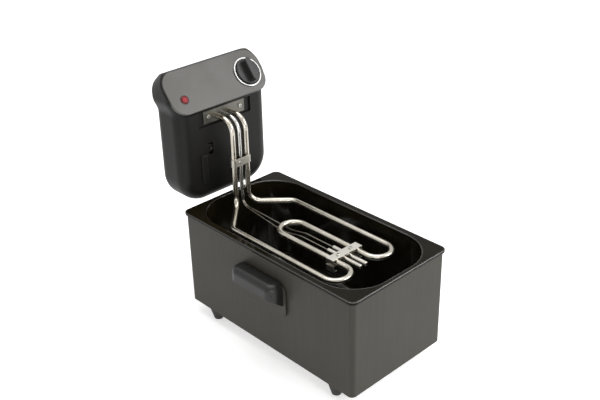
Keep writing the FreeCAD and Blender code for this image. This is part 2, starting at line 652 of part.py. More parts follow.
def make_guide():
    body = new_body("guide_body")
    wall = "sz.house_l / 2"
    cheek = "(sz.head_y - sz.guide_gap)"
    left = "(sz.rib_x - sz.rib_w / 2 - sz.guide_gap)"
    right = "(sz.rib_x + sz.rib_w / 2 + sz.guide_gap)"
    base = rectangle("%s - sz.guide_near" % left, wall, "%s + sz.guide_far" % right,
                     "%s + %s" % (wall, GUIDE_T))
    pad(body, "base", "XY", [base], GUIDE_LOW, GUIDE_HIGH)
    for name, low, high in (("left_cheek", left + " - " + GUIDE_T, left),
                            ("right_cheek", right, right + " + " + GUIDE_T)):
        cheek_plan = rectangle(low, "%s + %s" % (wall, GUIDE_T), high, cheek)
        pad(body, name, "XY", [cheek_plan], GUIDE_LOW, GUIDE_HIGH)
    # pressed pad that meets the switch plunger when the head is seated
    tip = "(sz.head_y - sz.plunger_out - sz.guide_gap / 2)"
    button = [("disc", "sz.switch_x", "sz.switch_z", "1.6 * sz.plunger_r")]
    pad(body, "switch_pad", "XZ", button, "%s + %s" % (wall, GUIDE_T), tip)
    rivets = [("disc", x, z, "sz.m3_r + sz.fit") for x, z in RIVET_SPOTS]
    pocket(body, "rivet_holes", "XZ", rivets, wall, "%s + %s" % (wall, GUIDE_T))
    keep(body, "head_guide")


def make_guide_rivets():
    blank = screw("sz.m3_r", "sz.m3_head", "sz.m3_high * 2 / 3", "sz.skin + %s + 1" % GUIDE_T)
    places = [((x, "sz.house_l / 2 + %s" % GUIDE_T, z), (0, 1, 0)) for x, z in RIVET_SPOTS]
    keep_shape(group(blank, places), "guide_rivets")


# Lower case of the head: front and rear covers with one outline, straight sides and round bottom corners
def case_outline(inset, top):
    half = "(sz.head_half - %s)" % inset
    low = "(sz.head_z + %s)" % inset
    radius = "(sz.head_r - %s)" % inset
    return [("-" + half, low, radius), (half, low, radius), (half, top), ("-" + half, top)]


POSTS = [(x, z) for x in ("-sz.post_x", "sz.post_x") for z in ("sz.post_low", "sz.post_high")]
POST_END = "(%s - sz.sleeve_l)" % CASE_BACK
LEGS = ("-sz.leg_x", "sz.leg_x")


def case_half(name, low, high, inner_low, inner_high, face, inner_face):
    """Half of the lower case: a tray with round outer and inner edges, open at the seam and at the top."""
    body = new_body(name)
    pad(body, "shell", "XZ", [case_outline("0", "sz.head_split")], low, high)
    hollow = case_outline("sz.wall", "(sz.head_split + 1)")
    pocket(body, "inside", "XZ", [hollow], inner_low, inner_high)
    soften(body, "inner_edge", "sz.head_edge - sz.wall",
           lambda e: lies(e, y=inner_face) and not lies(e, z="sz.head_split"))
    soften(body, "outer_edge", "sz.head_edge", lambda e: lies(e, y=face) and not lies(e, z="sz.head_split"))
    return body


def make_front_cover():
    body = case_half("front_cover_body", "sz.head_y", SEAM, COVER_IN, SEAM, "sz.head_y", COVER_IN)
    over = "sz.head_split + 1"
    # recess for the element bracket, with a floor of its own behind it
    block = rectangle("-sz.seat_half - sz.wall", "sz.seat_z - sz.wall", "sz.seat_half + sz.wall",
                      "sz.head_split")
    pad(body, "seat_block", "XZ", [block], COVER_IN, "%s + sz.wall" % SEAT_FLOOR)
    seat = rectangle("-sz.seat_half", "sz.seat_z", "sz.seat_half", over)
    pocket(body, "seat", "XZ", [seat], "sz.head_y", SEAT_FLOOR)
    tubes = [("disc", x, "sz.leg_z", "sz.tube_r + sz.fit") for x in LEGS]
    tubes.append(("disc", "0", "sz.leg_z", "sz.guide_r + sz.fit"))
    pocket(body, "tube_holes", "XZ", tubes, SEAT_FLOOR, "%s + sz.wall" % SEAT_FLOOR)
    ends = ("-sz.plate_screw_x", "sz.plate_screw_x")
    bosses = [("disc", x, "sz.plate_screw_z", "2.6 * sz.m3_r") for x in ends]
    pad(body, "bosses", "XZ", bosses, "%s + sz.wall" % SEAT_FLOOR, "%s + sz.wall + sz.boss_l" % SEAT_FLOOR)
    holes = [("disc", x, "sz.plate_screw_z", "sz.m3_r + sz.hole_gap") for x in ends]
    pocket(body, "boss_holes", "XZ", holes, SEAT_FLOOR, "%s + sz.wall + sz.boss_l" % SEAT_FLOOR)
    rib = rectangle("sz.rib_x - sz.rib_w / 2", "sz.rib_z", "sz.rib_x + sz.rib_w / 2", "sz.rib_z + sz.rib_h",
                    "sz.rib_r")
    pad(body, "guide_rib", "XZ", [rib], "sz.head_y - sz.rib_out", "sz.head_y")
    soften(body, "rib_edge", "sz.rib_out / 2", lambda e: lies(e, y="sz.head_y - sz.rib_out"))
    window = rectangle("sz.switch_x - sz.switch_hw", "sz.switch_z - sz.switch_hh",
                       "sz.switch_x + sz.switch_hw", "sz.switch_z + sz.switch_hh", "1.5")
    pocket(body, "switch_window", "XZ", [window], "sz.head_y", COVER_IN)
    posts = [("disc", x, z, "2.6 * sz.m3_r") for x, z in POSTS]
    pad(body, "posts", "XZ", posts, COVER_IN, POST_END)
    holes = [("disc", x, z, "sz.m3_r + sz.hole_gap") for x, z in POSTS]
    pocket(body, "post_holes", "XZ", holes, "%s - sz.post_hole" % POST_END, POST_END)
    keep(body, "head_front_cover", True)


def make_rear_cover():
    body = case_half("rear_cover_body", SEAM, MID_BACK, SEAM, CASE_BACK, MID_BACK, CASE_BACK)
    # sleeves that meet the front cover's posts, each with a screw hole
    posts = [("disc", x, z, "2.6 * sz.m3_r") for x, z in POSTS]
    pad(body, "sleeves", "XZ", posts, POST_END, CASE_BACK)
    holes = [("disc", x, z, "sz.m3_r + sz.hole_gap") for x, z in POSTS]
    pocket(body, "screw_holes", "XZ", holes, POST_END, MID_BACK)
    openings = [("disc", "sz.reset_x", "sz.reset_z", "sz.reset_r + sz.run_gap"),
                ("disc", "sz.gland_x", "sz.gland_z", "sz.gland_r + sz.fit")]
    pocket(body, "back_openings", "XZ", openings, CASE_BACK, MID_BACK)
    keep(body, "head_rear_cover", True)


def make_cover_screws():
    length = "sz.wall + sz.sleeve_l + sz.post_grip"
    blank = screw("sz.m3_r", "sz.m3_head", "sz.m3_high", length)
    keep_shape(group(blank, [((x, MID_BACK, z), (0, 1, 0)) for x, z in POSTS]), "cover_screws", True)


# Top cover of the head: carries the sloping panel, rounds over at the back and flares out from the case
def on_slope(along, up):
    """Y and Z of a point along the panel's slope and above its surface."""
    y = "(sz.panel_y + (%s) * %s - (%s) * %s)" % (along, SLOPE_C, up, SLOPE_S)
    z = "(sz.panel_z + (%s) * %s + (%s) * %s)" % (along, SLOPE_S, up, SLOPE_C)
    return y, z


SWELL_STEPS = 4


def make_top_cover():
    body = new_body("top_cover_body")
    under = "-sz.panel_t"
    crest = on_slope("sz.panel_l", under)
    grow = "(sz.top_half - sz.head_half)"
    rise = "(sz.flare_z - sz.head_split)"
    # the sides swell in an S from the lower case to full width
    plans = []
    for i in range(SWELL_STEPS + 1):
        up = i / SWELL_STEPS
        out = up * up * (3 - 2 * up)
        half = "(sz.head_half + %s * %.4f)" % (grow, out)
        plan = rectangle("-" + half, "sz.head_y", half, MID_BACK, "sz.head_edge")
        plans.append(new_sketch(body, "plan_%d" % i, "XY", [plan], "sz.head_split + %s * %.4f" % (rise, up)))
    swell = body.newObject("PartDesign::AdditiveLoft", "swell")
    swell.Profile = plans[0]
    swell.Sections = plans[1:]
    doc.recompute()
    full = rectangle("-sz.top_half", "sz.head_y", "sz.top_half", MID_BACK, "sz.head_edge")
    pad(body, "full_width", "XY", [full], "sz.flare_z", crest[1] + " + sz.wall")
    # seat that carries the panel's lower edge out over the case
    reach = "(sz.head_half - sz.skin)"
    seat = rectangle("-" + reach, "-sz.skin", reach, "sz.panel_l / 2", "sz.panel_r")
    pad(body, "panel_seat", "SLOPE", [seat], under + " - 4 * sz.wall", under + " + sz.skin")
    # the side view: sloping front, roof rounded over to the back
    side = [("sz.head_y", "sz.head_split"), (MID_BACK, "sz.head_split"),
            (MID_BACK, crest[1], "sz.roof_r - sz.skin"), crest, on_slope("0", under)]
    around = rectangle("sz.panel_y - sz.roof_r", "sz.head_split - sz.roof_r", MID_BACK + " + sz.roof_r",
                       crest[1] + " + sz.roof_r")
    pocket(body, "side_view", "YZ", [around, side], "-sz.top_half - sz.wall", "sz.top_half + sz.wall")
    # round corners at the back of the roof, seen along the slope
    for name, sign in (("left_crown", "-"), ("right_crown", "")):
        corner = [(sign + "sz.top_half", "sz.crown_l - sz.crown_r"),
                  (sign + "(sz.top_half - sz.crown_r)", "sz.crown_l")]
        cut_corner(body, name, corner, "sz.crown_r", sign + "(sz.top_half + sz.wall)", "sz.crown_l + sz.wall",
                   "-sz.top_half", "sz.skin")
    middle = [("sz.head_y + sz.wall", "sz.head_split"), (CASE_BACK, "sz.head_split"),
              (CASE_BACK, crest[1] + " - sz.roof_r"),
              (MID_BACK + " - sz.roof_r", crest[1] + " - 2 * sz.wall"),
              on_slope("sz.panel_l - 2 * sz.wall", under + " - sz.wall"),
              on_slope("2 * sz.wall", under + " - sz.wall")]
    room = "(sz.head_half - sz.head_edge)"
    pocket(body, "middle_cavity", "YZ", [middle], "-" + room, room)
    # the cavity's ends keep clear of the round corners
    clear = "sz.head_edge * 2 / 3"
    ends = [("sz.head_y + " + clear, "sz.head_split"), (MID_BACK + " - " + clear, "sz.head_split"),
            (MID_BACK + " - " + clear, crest[1] + " - sz.roof_r"),
            on_slope("sz.crown_l - sz.crown_r", under + " - 2 * sz.wall"),
            on_slope("sz.head_edge * 5 / 6", under + " - 2 * sz.wall")]
    room = "(sz.head_half - sz.wall - sz.skin)"
    pocket(body, "end_cavity", "YZ", [ends], "-" + room, room)
    holes = [("disc", "sz.knob_x", "sz.knob_v", "sz.shaft_r + 1"),
             ("disc", "sz.lamp_x", "sz.lamp_v", "sz.lamp_r")]
    pocket(body, "panel_holes", "SLOPE", holes, under + " - 2 * sz.wall", under)
    # room for the thermostat, which is screwed up against the roof
    room = [thermostat_outline("sz.play")]
    pocket(body, "thermostat_room", "SLOPE", room, THERMO_LOW + " - sz.play", THERMO_TOP)
    keep(body, "head_top_cover", True)


def cut_corner(body, name, corner, radius, past_x, past_y, low, high):
    """Cut away what lies outside a rounded corner on the panel's slope, given by the ends of its arc."""
    before = body.Shape.Volume
    sketch = new_sketch(body, name + "_sketch", "SLOPE", [], low)
    side_end, edge_end = corner
    centre = (edge_end[0], side_end[1])
    spots = [side_end, (past_x, side_end[1]), (past_x, past_y), (edge_end[0], past_y), edge_end]
    points = [V(num(x), num(y), 0) for x, y in spots]
    for i in range(len(points) - 1):
        sketch.addGeometry(Part.LineSegment(points[i], points[i + 1]), False)
    middle = V(num(centre[0]), num(centre[1]), 0)
    angles = {}
    for key, point in (("side", points[0]), ("edge", points[-1])):
        angles[key] = math.atan2(point.y - middle.y, point.x - middle.x)
    rising = (points[0] - middle).cross(points[-1] - middle).z > 0
    order = ("side", "edge") if rising else ("edge", "side")
    circle = Part.Circle(middle, V(0, 0, 1), num(radius))
    arc = sketch.addGeometry(Part.ArcOfCircle(circle, angles[order[0]], angles[order[1]]), False)
    side_pos, edge_pos = (1, 2) if rising else (2, 1)
    for i in range(len(points) - 2):
        sketch.addConstraint(Sketcher.Constraint("Coincident", i, 2, i + 1, 1))
    sketch.addConstraint(Sketcher.Constraint("Coincident", len(points) - 2, 2, arc, edge_pos))
    sketch.addConstraint(Sketcher.Constraint("Coincident", arc, side_pos, 0, 1))
    for i in range(len(points) - 1):
        fix_point(sketch, i, 1, spots[i][0], spots[i][1])
    fix_point(sketch, len(points) - 2, 2, spots[-1][0], spots[-1][1])
    fix_radius(sketch, arc, radius)
    item = body.newObject("PartDesign::Pocket", name)
    item.Profile = sketch
    bind(item, "Length", "(%s) - (%s)" % (high, low))
    item.Reversed = True
    doc.recompute()
    if body.Shape.Volume > before - 1e-6:
        raise RuntimeError("nothing cut by " + name)


# Control panel: satin plate over the whole slope
def make_panel():
    body = new_body("panel_body")
    outline = rectangle("-sz.panel_half", "0", "sz.panel_half", "sz.panel_l", "sz.panel_r")
    pad(body, "plate", "SLOPE", [outline], "-sz.panel_t", "0")
    flat = V(0, -math.sin(math.radians(num("sz.panel_tilt"))), math.cos(math.radians(num("sz.panel_tilt"))))
    origin = V(0, num("sz.panel_y"), num("sz.panel_z"))
    on_top = lambda e: all(abs((v.Point - origin).dot(flat)) < 0.01 for v in e.Vertexes)
    soften(body, "plate_edge", "sz.panel_t / 2", on_top)
    holes = [("disc", "sz.knob_x", "sz.knob_v", "sz.shaft_r + sz.run_gap"),
             ("disc", "sz.lamp_x", "sz.lamp_v", "sz.lamp_r + sz.fit")]
    pocket(body, "holes", "SLOPE", holes, "-sz.panel_t", "0")
    keep(body, "control_panel", True)


def make_bezel():
    body = new_body("bezel_body")
    ring = [("disc", "sz.knob_x", "sz.knob_v", "sz.bezel_r"),
            ("disc", "sz.knob_x", "sz.knob_v", "sz.bezel_r - sz.bezel_w")]
    pad(body, "ring", "SLOPE", ring, "0", "sz.bezel_h")
    soften(body, "ring_edge", "sz.bezel_w / 3", lambda e: edge_height(e) > num("sz.bezel_h") - 0.01)
    keep(body, "knob_bezel", True)


def edge_height(edge):
    """Least height of an edge above the panel's surface."""
    tilt = math.radians(num("sz.panel_tilt"))
    flat = V(0, -math.sin(tilt), math.cos(tilt))
    origin = V(0, num("sz.panel_y"), num("sz.panel_z"))
    return min((v.Point - origin).dot(flat) for v in edge.Vertexes)


# Thermostat knob: tapered, with a grip bar across its face, pressed on the thermostat's shaft
def make_knob():
    body = new_body("knob_body")
    clear = "sz.play * 2"
    spot = ("sz.knob_x", "sz.knob_v")
    skirt = "sz.knob_h / 3"
    pad(body, "skirt", "SLOPE", [("disc",) + spot + ("sz.knob_r - sz.play",)], clear, skirt)
    soften(body, "skirt_edge", "1.5", lambda e: edge_height(e) > num(skirt) - 0.01)
    bar_half = "sz.knob_r / 4"
    bar_reach = "(sz.knob_r - 2)"
    bar = rectangle("sz.knob_x - " + bar_half, "sz.knob_v - " + bar_reach,
                    "sz.knob_x + " + bar_half, "sz.knob_v + " + bar_reach, bar_half + " - 0.5")
    pad(body, "bar", "SLOPE", [bar], skirt, "sz.knob_h")
    soften(body, "bar_edge", "1.2", lambda e: edge_height(e) > num("sz.knob_h") - 0.01)
    bore = [("disc",) + spot + ("sz.shaft_r + sz.fit",)]
    pocket(body, "bore", "SLOPE", bore, clear, "sz.knob_h * 2 / 3")
    keep(body, "control_knob", True)




def make_shaft():
    body = new_body("shaft_body")
    rod = [("disc", "sz.knob_x", "sz.knob_v", "sz.shaft_r")]
    low = "%s + sz.thermo_h * 2 / 5" % THERMO_LOW
    pad(body, "rod", "SLOPE", [rod[0]], low, "sz.knob_h * 2 / 3 - sz.play")
    keep(body, "thermostat_shaft", True)


def thermostat_outline(gap):
    """The thermostat's case seen along the slope, with a gap round it."""
    half_w = "(sz.thermo_w / 2 + %s)" % gap
    half_l = "(sz.thermo_l / 2 + %s)" % gap
    return rectangle("sz.knob_x - " + half_w, "sz.knob_v - " + half_l, "sz.knob_x + " + half_w,
                     "sz.knob_v + " + half_l, "sz.thermo_r")


def make_thermostat():
    body = new_body("thermostat_body")
    pad(body, "case", "SLOPE", [thermostat_outline("0")], THERMO_LOW, THERMO_TOP)
    bore = [("disc", "sz.knob_x", "sz.knob_v", "sz.shaft_r + sz.run_gap")]
    pocket(body, "bore", "SLOPE", bore, "%s + sz.thermo_h * 2 / 5 - sz.play" % THERMO_LOW, THERMO_TOP)
    edge = "sz.knob_x - sz.thermo_w / 2"
    tags = []
    for sign in ("-", "+"):
        low = "sz.knob_v %s sz.tag_w * 2 - sz.tag_w / 2" % sign
        tags.append(rectangle(edge, low, edge + " + sz.tag_w * 3 / 2", low + " + sz.tag_w"))
    pad(body, "tags", "SLOPE", tags, "%s - sz.tag_l" % THERMO_LOW, THERMO_LOW)
    keep(body, "thermostat", True)


# Power lamp: clear red lens in the panel with the lamp's holder behind it
def make_lamp():
    lens = new_body("lens_body")
    spot = ("sz.lamp_x", "sz.lamp_v")
    pad(lens, "dome", "SLOPE", [("disc",) + spot + ("sz.lamp_r",)], "-sz.panel_t", "1.6")
    soften(lens, "dome_round", "1.5", lambda e: edge_height(e) > 1.5)
    keep(lens, "power_lamp_lens", True)
    rim = new_body("lamp_rim_body")
    ring = [("disc",) + spot + ("sz.lamp_r + sz.lamp_rim",), ("disc",) + spot + ("sz.lamp_r + sz.fit",)]
    pad(rim, "ring", "SLOPE", ring, "0", "sz.lamp_rim / 2")
    soften(rim, "ring_edge", "sz.lamp_rim / 4", lambda e: edge_height(e) > num("sz.lamp_rim / 2") - 0.01)
    keep(rim, "power_lamp_rim", True)
    holder = new_body("holder_body")
    tube = [("disc",) + spot + ("sz.lamp_r - 2 * sz.fit",)]
    pad(holder, "tube", "SLOPE", tube, "-sz.panel_t - sz.holder_l", "-sz.panel_t")
    soften(holder, "tube_end", "1", lambda e: edge_height(e) < num("-sz.panel_t - sz.holder_l") + 0.01)
    keep(holder, "lamp_holder", True)


# Element bracket: steel plate in the front recess, through which the tubes enter the head
def make_bracket():
    body = new_body("bracket_body")
    front = "(%s - sz.plate_t)" % SEAT_FLOOR
    plate = rectangle("-sz.plate_half", "sz.plate_z", "sz.plate_half", "sz.head_split - sz.fit")
    pad(body, "plate", "XZ", [plate], front, SEAT_FLOOR)
    tubes = [("disc", x, "sz.leg_z", "sz.tube_r + sz.fit") for x in LEGS]
    tubes.append(("disc", "0", "sz.leg_z", "sz.guide_r + sz.fit"))
    tubes += [("disc", x, "sz.plate_screw_z", "sz.m3_r + sz.hole_gap")
              for x in ("-sz.plate_screw_x", "sz.plate_screw_x")]
    pocket(body, "holes", "XZ", tubes, front, SEAT_FLOOR)
    keep(body, "element_bracket", True)
    blank = screw("sz.m3_r", "sz.m3_head", "sz.m3_high", "sz.plate_t + sz.wall + sz.boss_grip")
    places = [((x, front, "sz.plate_screw_z"), (0, -1, 0)) for x in ("-sz.plate_screw_x", "sz.plate_screw_x")]
    keep_shape(group(blank, places), "bracket_screws", True)


# Tubes bent from straight runs and tangent arcs
def bent_wire(stations):
    """Wire through stations (x, y, z, bend radius); the first and last have no bend."""
    spots = [V(*s[:3]) for s in stations]
    edges = []
    here = spots[0]
    for i in range(1, len(spots)):
        if i == len(spots) - 1:
            stop = leave = spots[i]
        else:
            back = (spots[i - 1] - spots[i]).normalize()
            ahead = (spots[i + 1] - spots[i]).normalize()
            turn = math.pi - back.getAngle(ahead)
            reach = stations[i][3] * math.tan(turn / 2)
            stop = spots[i] + back * reach
            leave = spots[i] + ahead * reach
            inward = (back + ahead).normalize()
            centre = spots[i] + inward * (stations[i][3] / math.cos(turn / 2))
            middle = centre - inward * stations[i][3]
        if (stop - here).Length > 1e-4:
            edges.append(Part.LineSegment(here, stop).toShape())
        if leave is not stop:
            edges.append(Part.Arc(stop, middle, leave).toShape())
        here = leave
    return Part.Wire(edges)


def tube_along(wire, radius):
    """Round rod along a wire, checked against its section times its length."""
    start = wire.OrderedEdges[0]
    aim = start.tangentAt(start.FirstParameter)
    spot = start.valueAt(start.FirstParameter)
    ring = Part.Wire([Part.Circle(spot, aim, radius).toShape()])
    rod = wire.makePipeShell([ring], True, False)
    expected = math.pi * radius ** 2 * wire.Length
    if abs(rod.Volume - expected) > 0.01 * expected:
        raise RuntimeError("tube volume %.1f instead of %.1f" % (rod.Volume, expected))
    return rod


# Heating element: one tube bent into two legs, four long runs and three turns
def element_stations():
    inner_y = num("%s + sz.wall + sz.leg_in" % SEAT_FLOOR)
    leg_x = num("sz.leg_x")
    leg_y = num("sz.leg_y")
    high = num("sz.leg_z")
    low = num("sz.coil_z")
    outer = num(OUTER_COIL)
    inner = num("sz.coil_in")
    turn = num("sz.coil_in")
    half = [
        (leg_x, inner_y, high, 0),
        (leg_x, leg_y, high, num("sz.leg_bend")),
        (leg_x, leg_y, low, num("sz.foot_bend")),
        (outer, leg_y - (outer - leg_x), low, num("sz.foot_bend")),
        (outer, -num("sz.coil_front"), low, turn),
        (inner, -num("sz.coil_front"), low, turn),
        (inner, num("sz.coil_back"), low, turn),
    ]
    return half + [(-x, y, z, r) for x, y, z, r in reversed(half)]


def make_element():
    keep_shape(tube_along(bent_wire(element_stations()), num("sz.tube_r")), "heating_element", True)
    blank = new_body("terminal_blank")
    pad(blank, "pin", "XY", [("disc", "0", "0", "sz.tube_r / 2.4")], "0", "sz.pin_l")
    soften(blank, "pin_end", "sz.tube_r / 7", lambda e: lies(e, z="sz.pin_l"))
    end = "%s + sz.wall + sz.leg_in" % SEAT_FLOOR
    pins = group(blank.Shape.copy(), [((x, end, "sz.leg_z"), (0, 1, 0)) for x in LEGS])
    keep_shape(pins, "element_terminals", True)


# Terminal block: takes the element's pins, on the inside of the rear cover
def make_terminal_block():
    body = new_body("terminal_block_body")
    front = "(%s + sz.wall + sz.leg_in + sz.block_gap)" % SEAT_FLOOR
    half = "sz.block_h / 2"
    block = rectangle("-2 * sz.leg_x", "sz.leg_z - " + half, "2 * sz.leg_x", "sz.leg_z + " + half, "sz.wall")
    pad(body, "block", "XZ", [block], front, CASE_BACK)
    pins = [("disc", x, "sz.leg_z", "sz.tube_r / 2.4 + sz.fit") for x in LEGS]
    pocket(body, "sockets", "XZ", pins, front, "%s + sz.socket_d" % front)
    keep(body, "terminal_block", True)


# Sensor guide: a steel tube between the legs that leads the capillaries down to the oil
def guide_stations():
    y_in = num("%s + sz.wall + sz.leg_in / 2" % SEAT_FLOOR)
    leg_y = num("sz.leg_y")
    return [(0, y_in, num("sz.leg_z"), 0), (0, leg_y, num("sz.leg_z"), num("sz.leg_bend")),
            (0, leg_y, num("sz.guide_end"), 0)]


def make_sensor_guide():
    wire = bent_wire(guide_stations())
    outer = tube_along(wire, num("sz.guide_r"))
    inner = tube_along(wire, num("sz.guide_r - 0.6"))
    keep_shape(outer.cut(inner), "sensor_guide_tube", True)


# Capillaries: thin copper tubes out of the guide, under the coil's back turn and on to the bulbs
def make_capillary(sign, label):
    drop = num("sz.guide_end")
    leg_y = num("sz.leg_y")
    under = num("sz.coil_z - sz.tube_r - 3.4 * sz.wire_r")
    bulb_z = num(BULB_Z)
    back = num("sz.coil_back")
    near = sign * num("sz.wire_r + 2 * sz.fit")
    beside = sign * num("sz.bulb_x")
    stations = [
        (near, leg_y, drop + num("sz.wire_up"), 0),
        (near, leg_y, drop - num("sz.wire_drop"), num("sz.wire_bend")),
        (beside, back + num("sz.wire_dip"), under, num("sz.wire_sweep")),
        (beside, back - num("sz.wire_rise"), under, num("sz.wire_sweep")),
        (beside, back - num("sz.wire_climb"), bulb_z, num("sz.wire_sweep")),
        (beside, -num("sz.bulb_back"), bulb_z, 0),
    ]
    keep_shape(tube_along(bent_wire(stations), num("sz.wire_r")), label, True)


BULB_Z = "(sz.coil_z - sz.tube_r - sz.fit + sz.bulb_r + sz.fit)"


def make_bulbs():
    for sign, label in ((-1, "thermostat_bulb"), (1, "cutout_bulb")):
        body = new_body(label + "_body")
        spot = ("%d * sz.bulb_x" % sign, BULB_Z)
        front = "-(sz.bulb_back + sz.bulb_l)"
        pad(body, "rod", "XZ", [("disc",) + spot + ("sz.bulb_r",)], front, "-sz.bulb_back")
        soften(body, "rod_ends", "sz.bulb_r / 2", lambda e: lies(e, y=front) or lies(e, y="-sz.bulb_back"))
        keep(body, label, True)


# Leg strap: a closed band round both legs and the sensor guide, drawn together by a screw
def make_leg_strap():
    body = new_body("strap_body")
    low = "sz.strap_z - sz.strap_h / 2"
    high = "sz.strap_z + sz.strap_h / 2"
    reach = "(sz.leg_x + sz.tube_r + sz.fit)"
    deep = "(sz.tube_r + sz.fit)"

    def band(extra):
        x = "(%s + %s)" % (reach, extra)
        y = "(%s + %s)" % (deep, extra)
        radius = "(sz.tube_r - 0.5 + %s)" % extra
        return rectangle("-" + x, "sz.leg_y - " + y, x, "sz.leg_y + " + y, radius)

    pad(body, "band", "XY", [band("sz.strap_t")], low, high)
    pocket(body, "inside", "XY", [band("0")], low, high)
    spot = ("-sz.leg_x / 2", "sz.strap_z")
    hole = [("disc",) + spot + ("sz.m3_r * 0.8 + sz.hole_gap",)]
    outside = "(%s + sz.strap_t)" % deep
    pocket(body, "screw_hole", "XZ", hole, "sz.leg_y - " + outside, "sz.leg_y + " + outside)
    keep(body, "leg_strap", True)
    blank = screw("sz.m3_r * 0.8", "sz.m3_head * 0.75", "sz.m3_high", "2 * %s + 2" % outside)
    place = (("-sz.leg_x / 2", "sz.leg_y - " + outside, "sz.strap_z"), (0, -1, 0))
    keep_shape(group(blank, [place]), "leg_strap_screw", True)


# Coil clamp: two strips across the inner runs that hold the bulbs, the lower one with feet for the tank floor
def make_coil_clamp():
    low_face = "(sz.coil_z - sz.tube_r - sz.fit)"
    high_face = "(sz.coil_z + sz.tube_r + sz.fit)"
    front = "-(sz.clamp_y + sz.clamp_w / 2)"
    back = "-(sz.clamp_y - sz.clamp_w / 2)"
    screws = []
    for x in ("-sz.clamp_screw", "sz.clamp_screw"):
        screws.append(("disc", x, "-sz.clamp_y", "sz.m3_r + sz.hole_gap"))

    base = new_body("clamp_base_body")
    strip = rectangle("-sz.clamp_half", front, "sz.clamp_half", back)
    pad(base, "strip", "XY", [strip], low_face + " - sz.clamp_t", low_face)
    floor = "(sz.tank_floor + 2 * sz.play)"
    feet = [rectangle("-sz.clamp_half", front, "-sz.clamp_half + sz.clamp_t", back),
            rectangle("sz.clamp_half - sz.clamp_t", front, "sz.clamp_half", back)]
    pad(base, "legs", "XY", feet, floor, low_face + " - sz.clamp_t")
    toes = [rectangle("-sz.clamp_half + sz.clamp_t", front, "-sz.clamp_half + 6 * sz.clamp_t", back),
            rectangle("sz.clamp_half - 6 * sz.clamp_t", front, "sz.clamp_half - sz.clamp_t", back)]
    pad(base, "toes", "XY", toes, floor, floor + " + sz.clamp_t")
    pocket(base, "screw_holes", "XY", screws, low_face + " - sz.clamp_t", low_face)
    keep(base, "coil_clamp_base", True)

    cover = new_body("clamp_top_body")
    pad(cover, "strip", "XY", [strip], high_face, high_face + " + sz.clamp_t")
    hooks = [rectangle("-sz.clamp_half", front, "-sz.clamp_half + sz.clamp_t", back),
             rectangle("sz.clamp_half - sz.clamp_t", front, "sz.clamp_half", back)]
    pad(cover, "hooks", "XY", hooks, "sz.coil_z", high_face)
    saddle = rectangle("-sz.bulb_x - sz.bulb_r", front, "sz.bulb_x + sz.bulb_r", back)
    pad(cover, "saddle", "XY", [saddle], "%s + sz.bulb_r + sz.fit" % BULB_Z, high_face)
    pocket(cover, "screw_holes", "XY", screws, high_face, high_face + " + sz.clamp_t")
    keep(cover, "coil_clamp_top", True)

    length = "2 * (sz.tube_r + sz.fit + sz.clamp_t) + 1"
    blank = screw("sz.m3_r", "sz.m3_head", "sz.m3_high", length)
    places = [((x, "-sz.clamp_y", high_face + " + sz.clamp_t"), (0, 0, 1))
              for x in ("-sz.clamp_screw", "sz.clamp_screw")]
    keep_shape(group(blank, places), "coil_clamp_screws", True)


# Safety switch: its plunger looks out of the window in the front cover
def make_switch():
    body = new_body("switch_body")
    case = rectangle("sz.switch_x - sz.switch_w / 2", "sz.switch_z - sz.switch_h / 2",
                     "sz.switch_x + sz.switch_w / 2", "sz.switch_z + sz.switch_h / 2", "sz.skin")
    pad(body, "case", "XZ", [case], COVER_IN, "%s + sz.switch_d" % COVER_IN)
    bore = [("disc", "sz.switch_x", "sz.switch_z", "sz.plunger_r + sz.run_gap")]
    pocket(body, "bore", "XZ", bore, COVER_IN, "%s + sz.plunger_in + sz.plunger_go + sz.play" % COVER_IN)
    keep(body, "safety_switch", True)
    plunger = new_body("plunger_body")
    rod = [("disc", "sz.switch_x", "sz.switch_z", "sz.plunger_r")]
    tip = "(sz.head_y - sz.plunger_out)"
    pad(plunger, "rod", "XZ", rod, tip, "%s + sz.plunger_in" % COVER_IN)
    soften(plunger, "rod_tip", "sz.plunger_r / 2", lambda e: lies(e, y=tip))
    keep(plunger, "switch_plunger", True)


# Thermal cut-out on the rear cover, with the reset button that comes through the wall
def make_cutout():
    body = new_body("cutout_body")
    half = "sz.cutout_w / 2"
    case = rectangle("sz.reset_x - " + half, "sz.reset_z - " + half,
                     "sz.reset_x + " + half, "sz.reset_z + " + half, "sz.cutout_r")
    front = "(%s - sz.cutout_d)" % CASE_BACK
    pad(body, "case", "XZ", [case], front, CASE_BACK)
    bore = [("disc", "sz.reset_x", "sz.reset_z", "sz.reset_r + sz.run_gap")]
    stem = "(%s - sz.stem_in)" % CASE_BACK
    pocket(body, "bore", "XZ", bore, "%s - sz.reset_go - sz.play" % stem, CASE_BACK)
    keep(body, "thermal_cutout", True)
    button = new_body("reset_body")
    tip = "(%s + sz.reset_out)" % MID_BACK
    pad(button, "stem", "XZ", [("disc", "sz.reset_x", "sz.reset_z", "sz.reset_r")], stem, tip)
    soften(button, "stem_tip", "sz.reset_r / 4", lambda e: lies(e, y=tip))
    keep(button, "reset_button", True)


# Cord gland: collared bush in the rear cover
def make_gland():
    body = new_body("gland_body")
    spot = ("sz.gland_x", "sz.gland_z")
    pad(body, "bush", "XZ", [("disc",) + spot + ("sz.gland_r",)], "%s - sz.gland_in" % CASE_BACK, MID_BACK)
    collar_end = "(%s + sz.m3_high)" % MID_BACK
    pad(body, "collar", "XZ", [("disc",) + spot + ("sz.gland_r + sz.gland_rim",)], MID_BACK, collar_end)
    soften(body, "collar_edge", "sz.m3_high / 2", lambda e: lies(e, y=collar_end))
    bore = [("disc",) + spot + ("sz.cord_r",)]
    pocket(body, "bore", "XZ", bore, "%s - sz.gland_in" % CASE_BACK, collar_end)
    keep(body, "cord_gland", True)


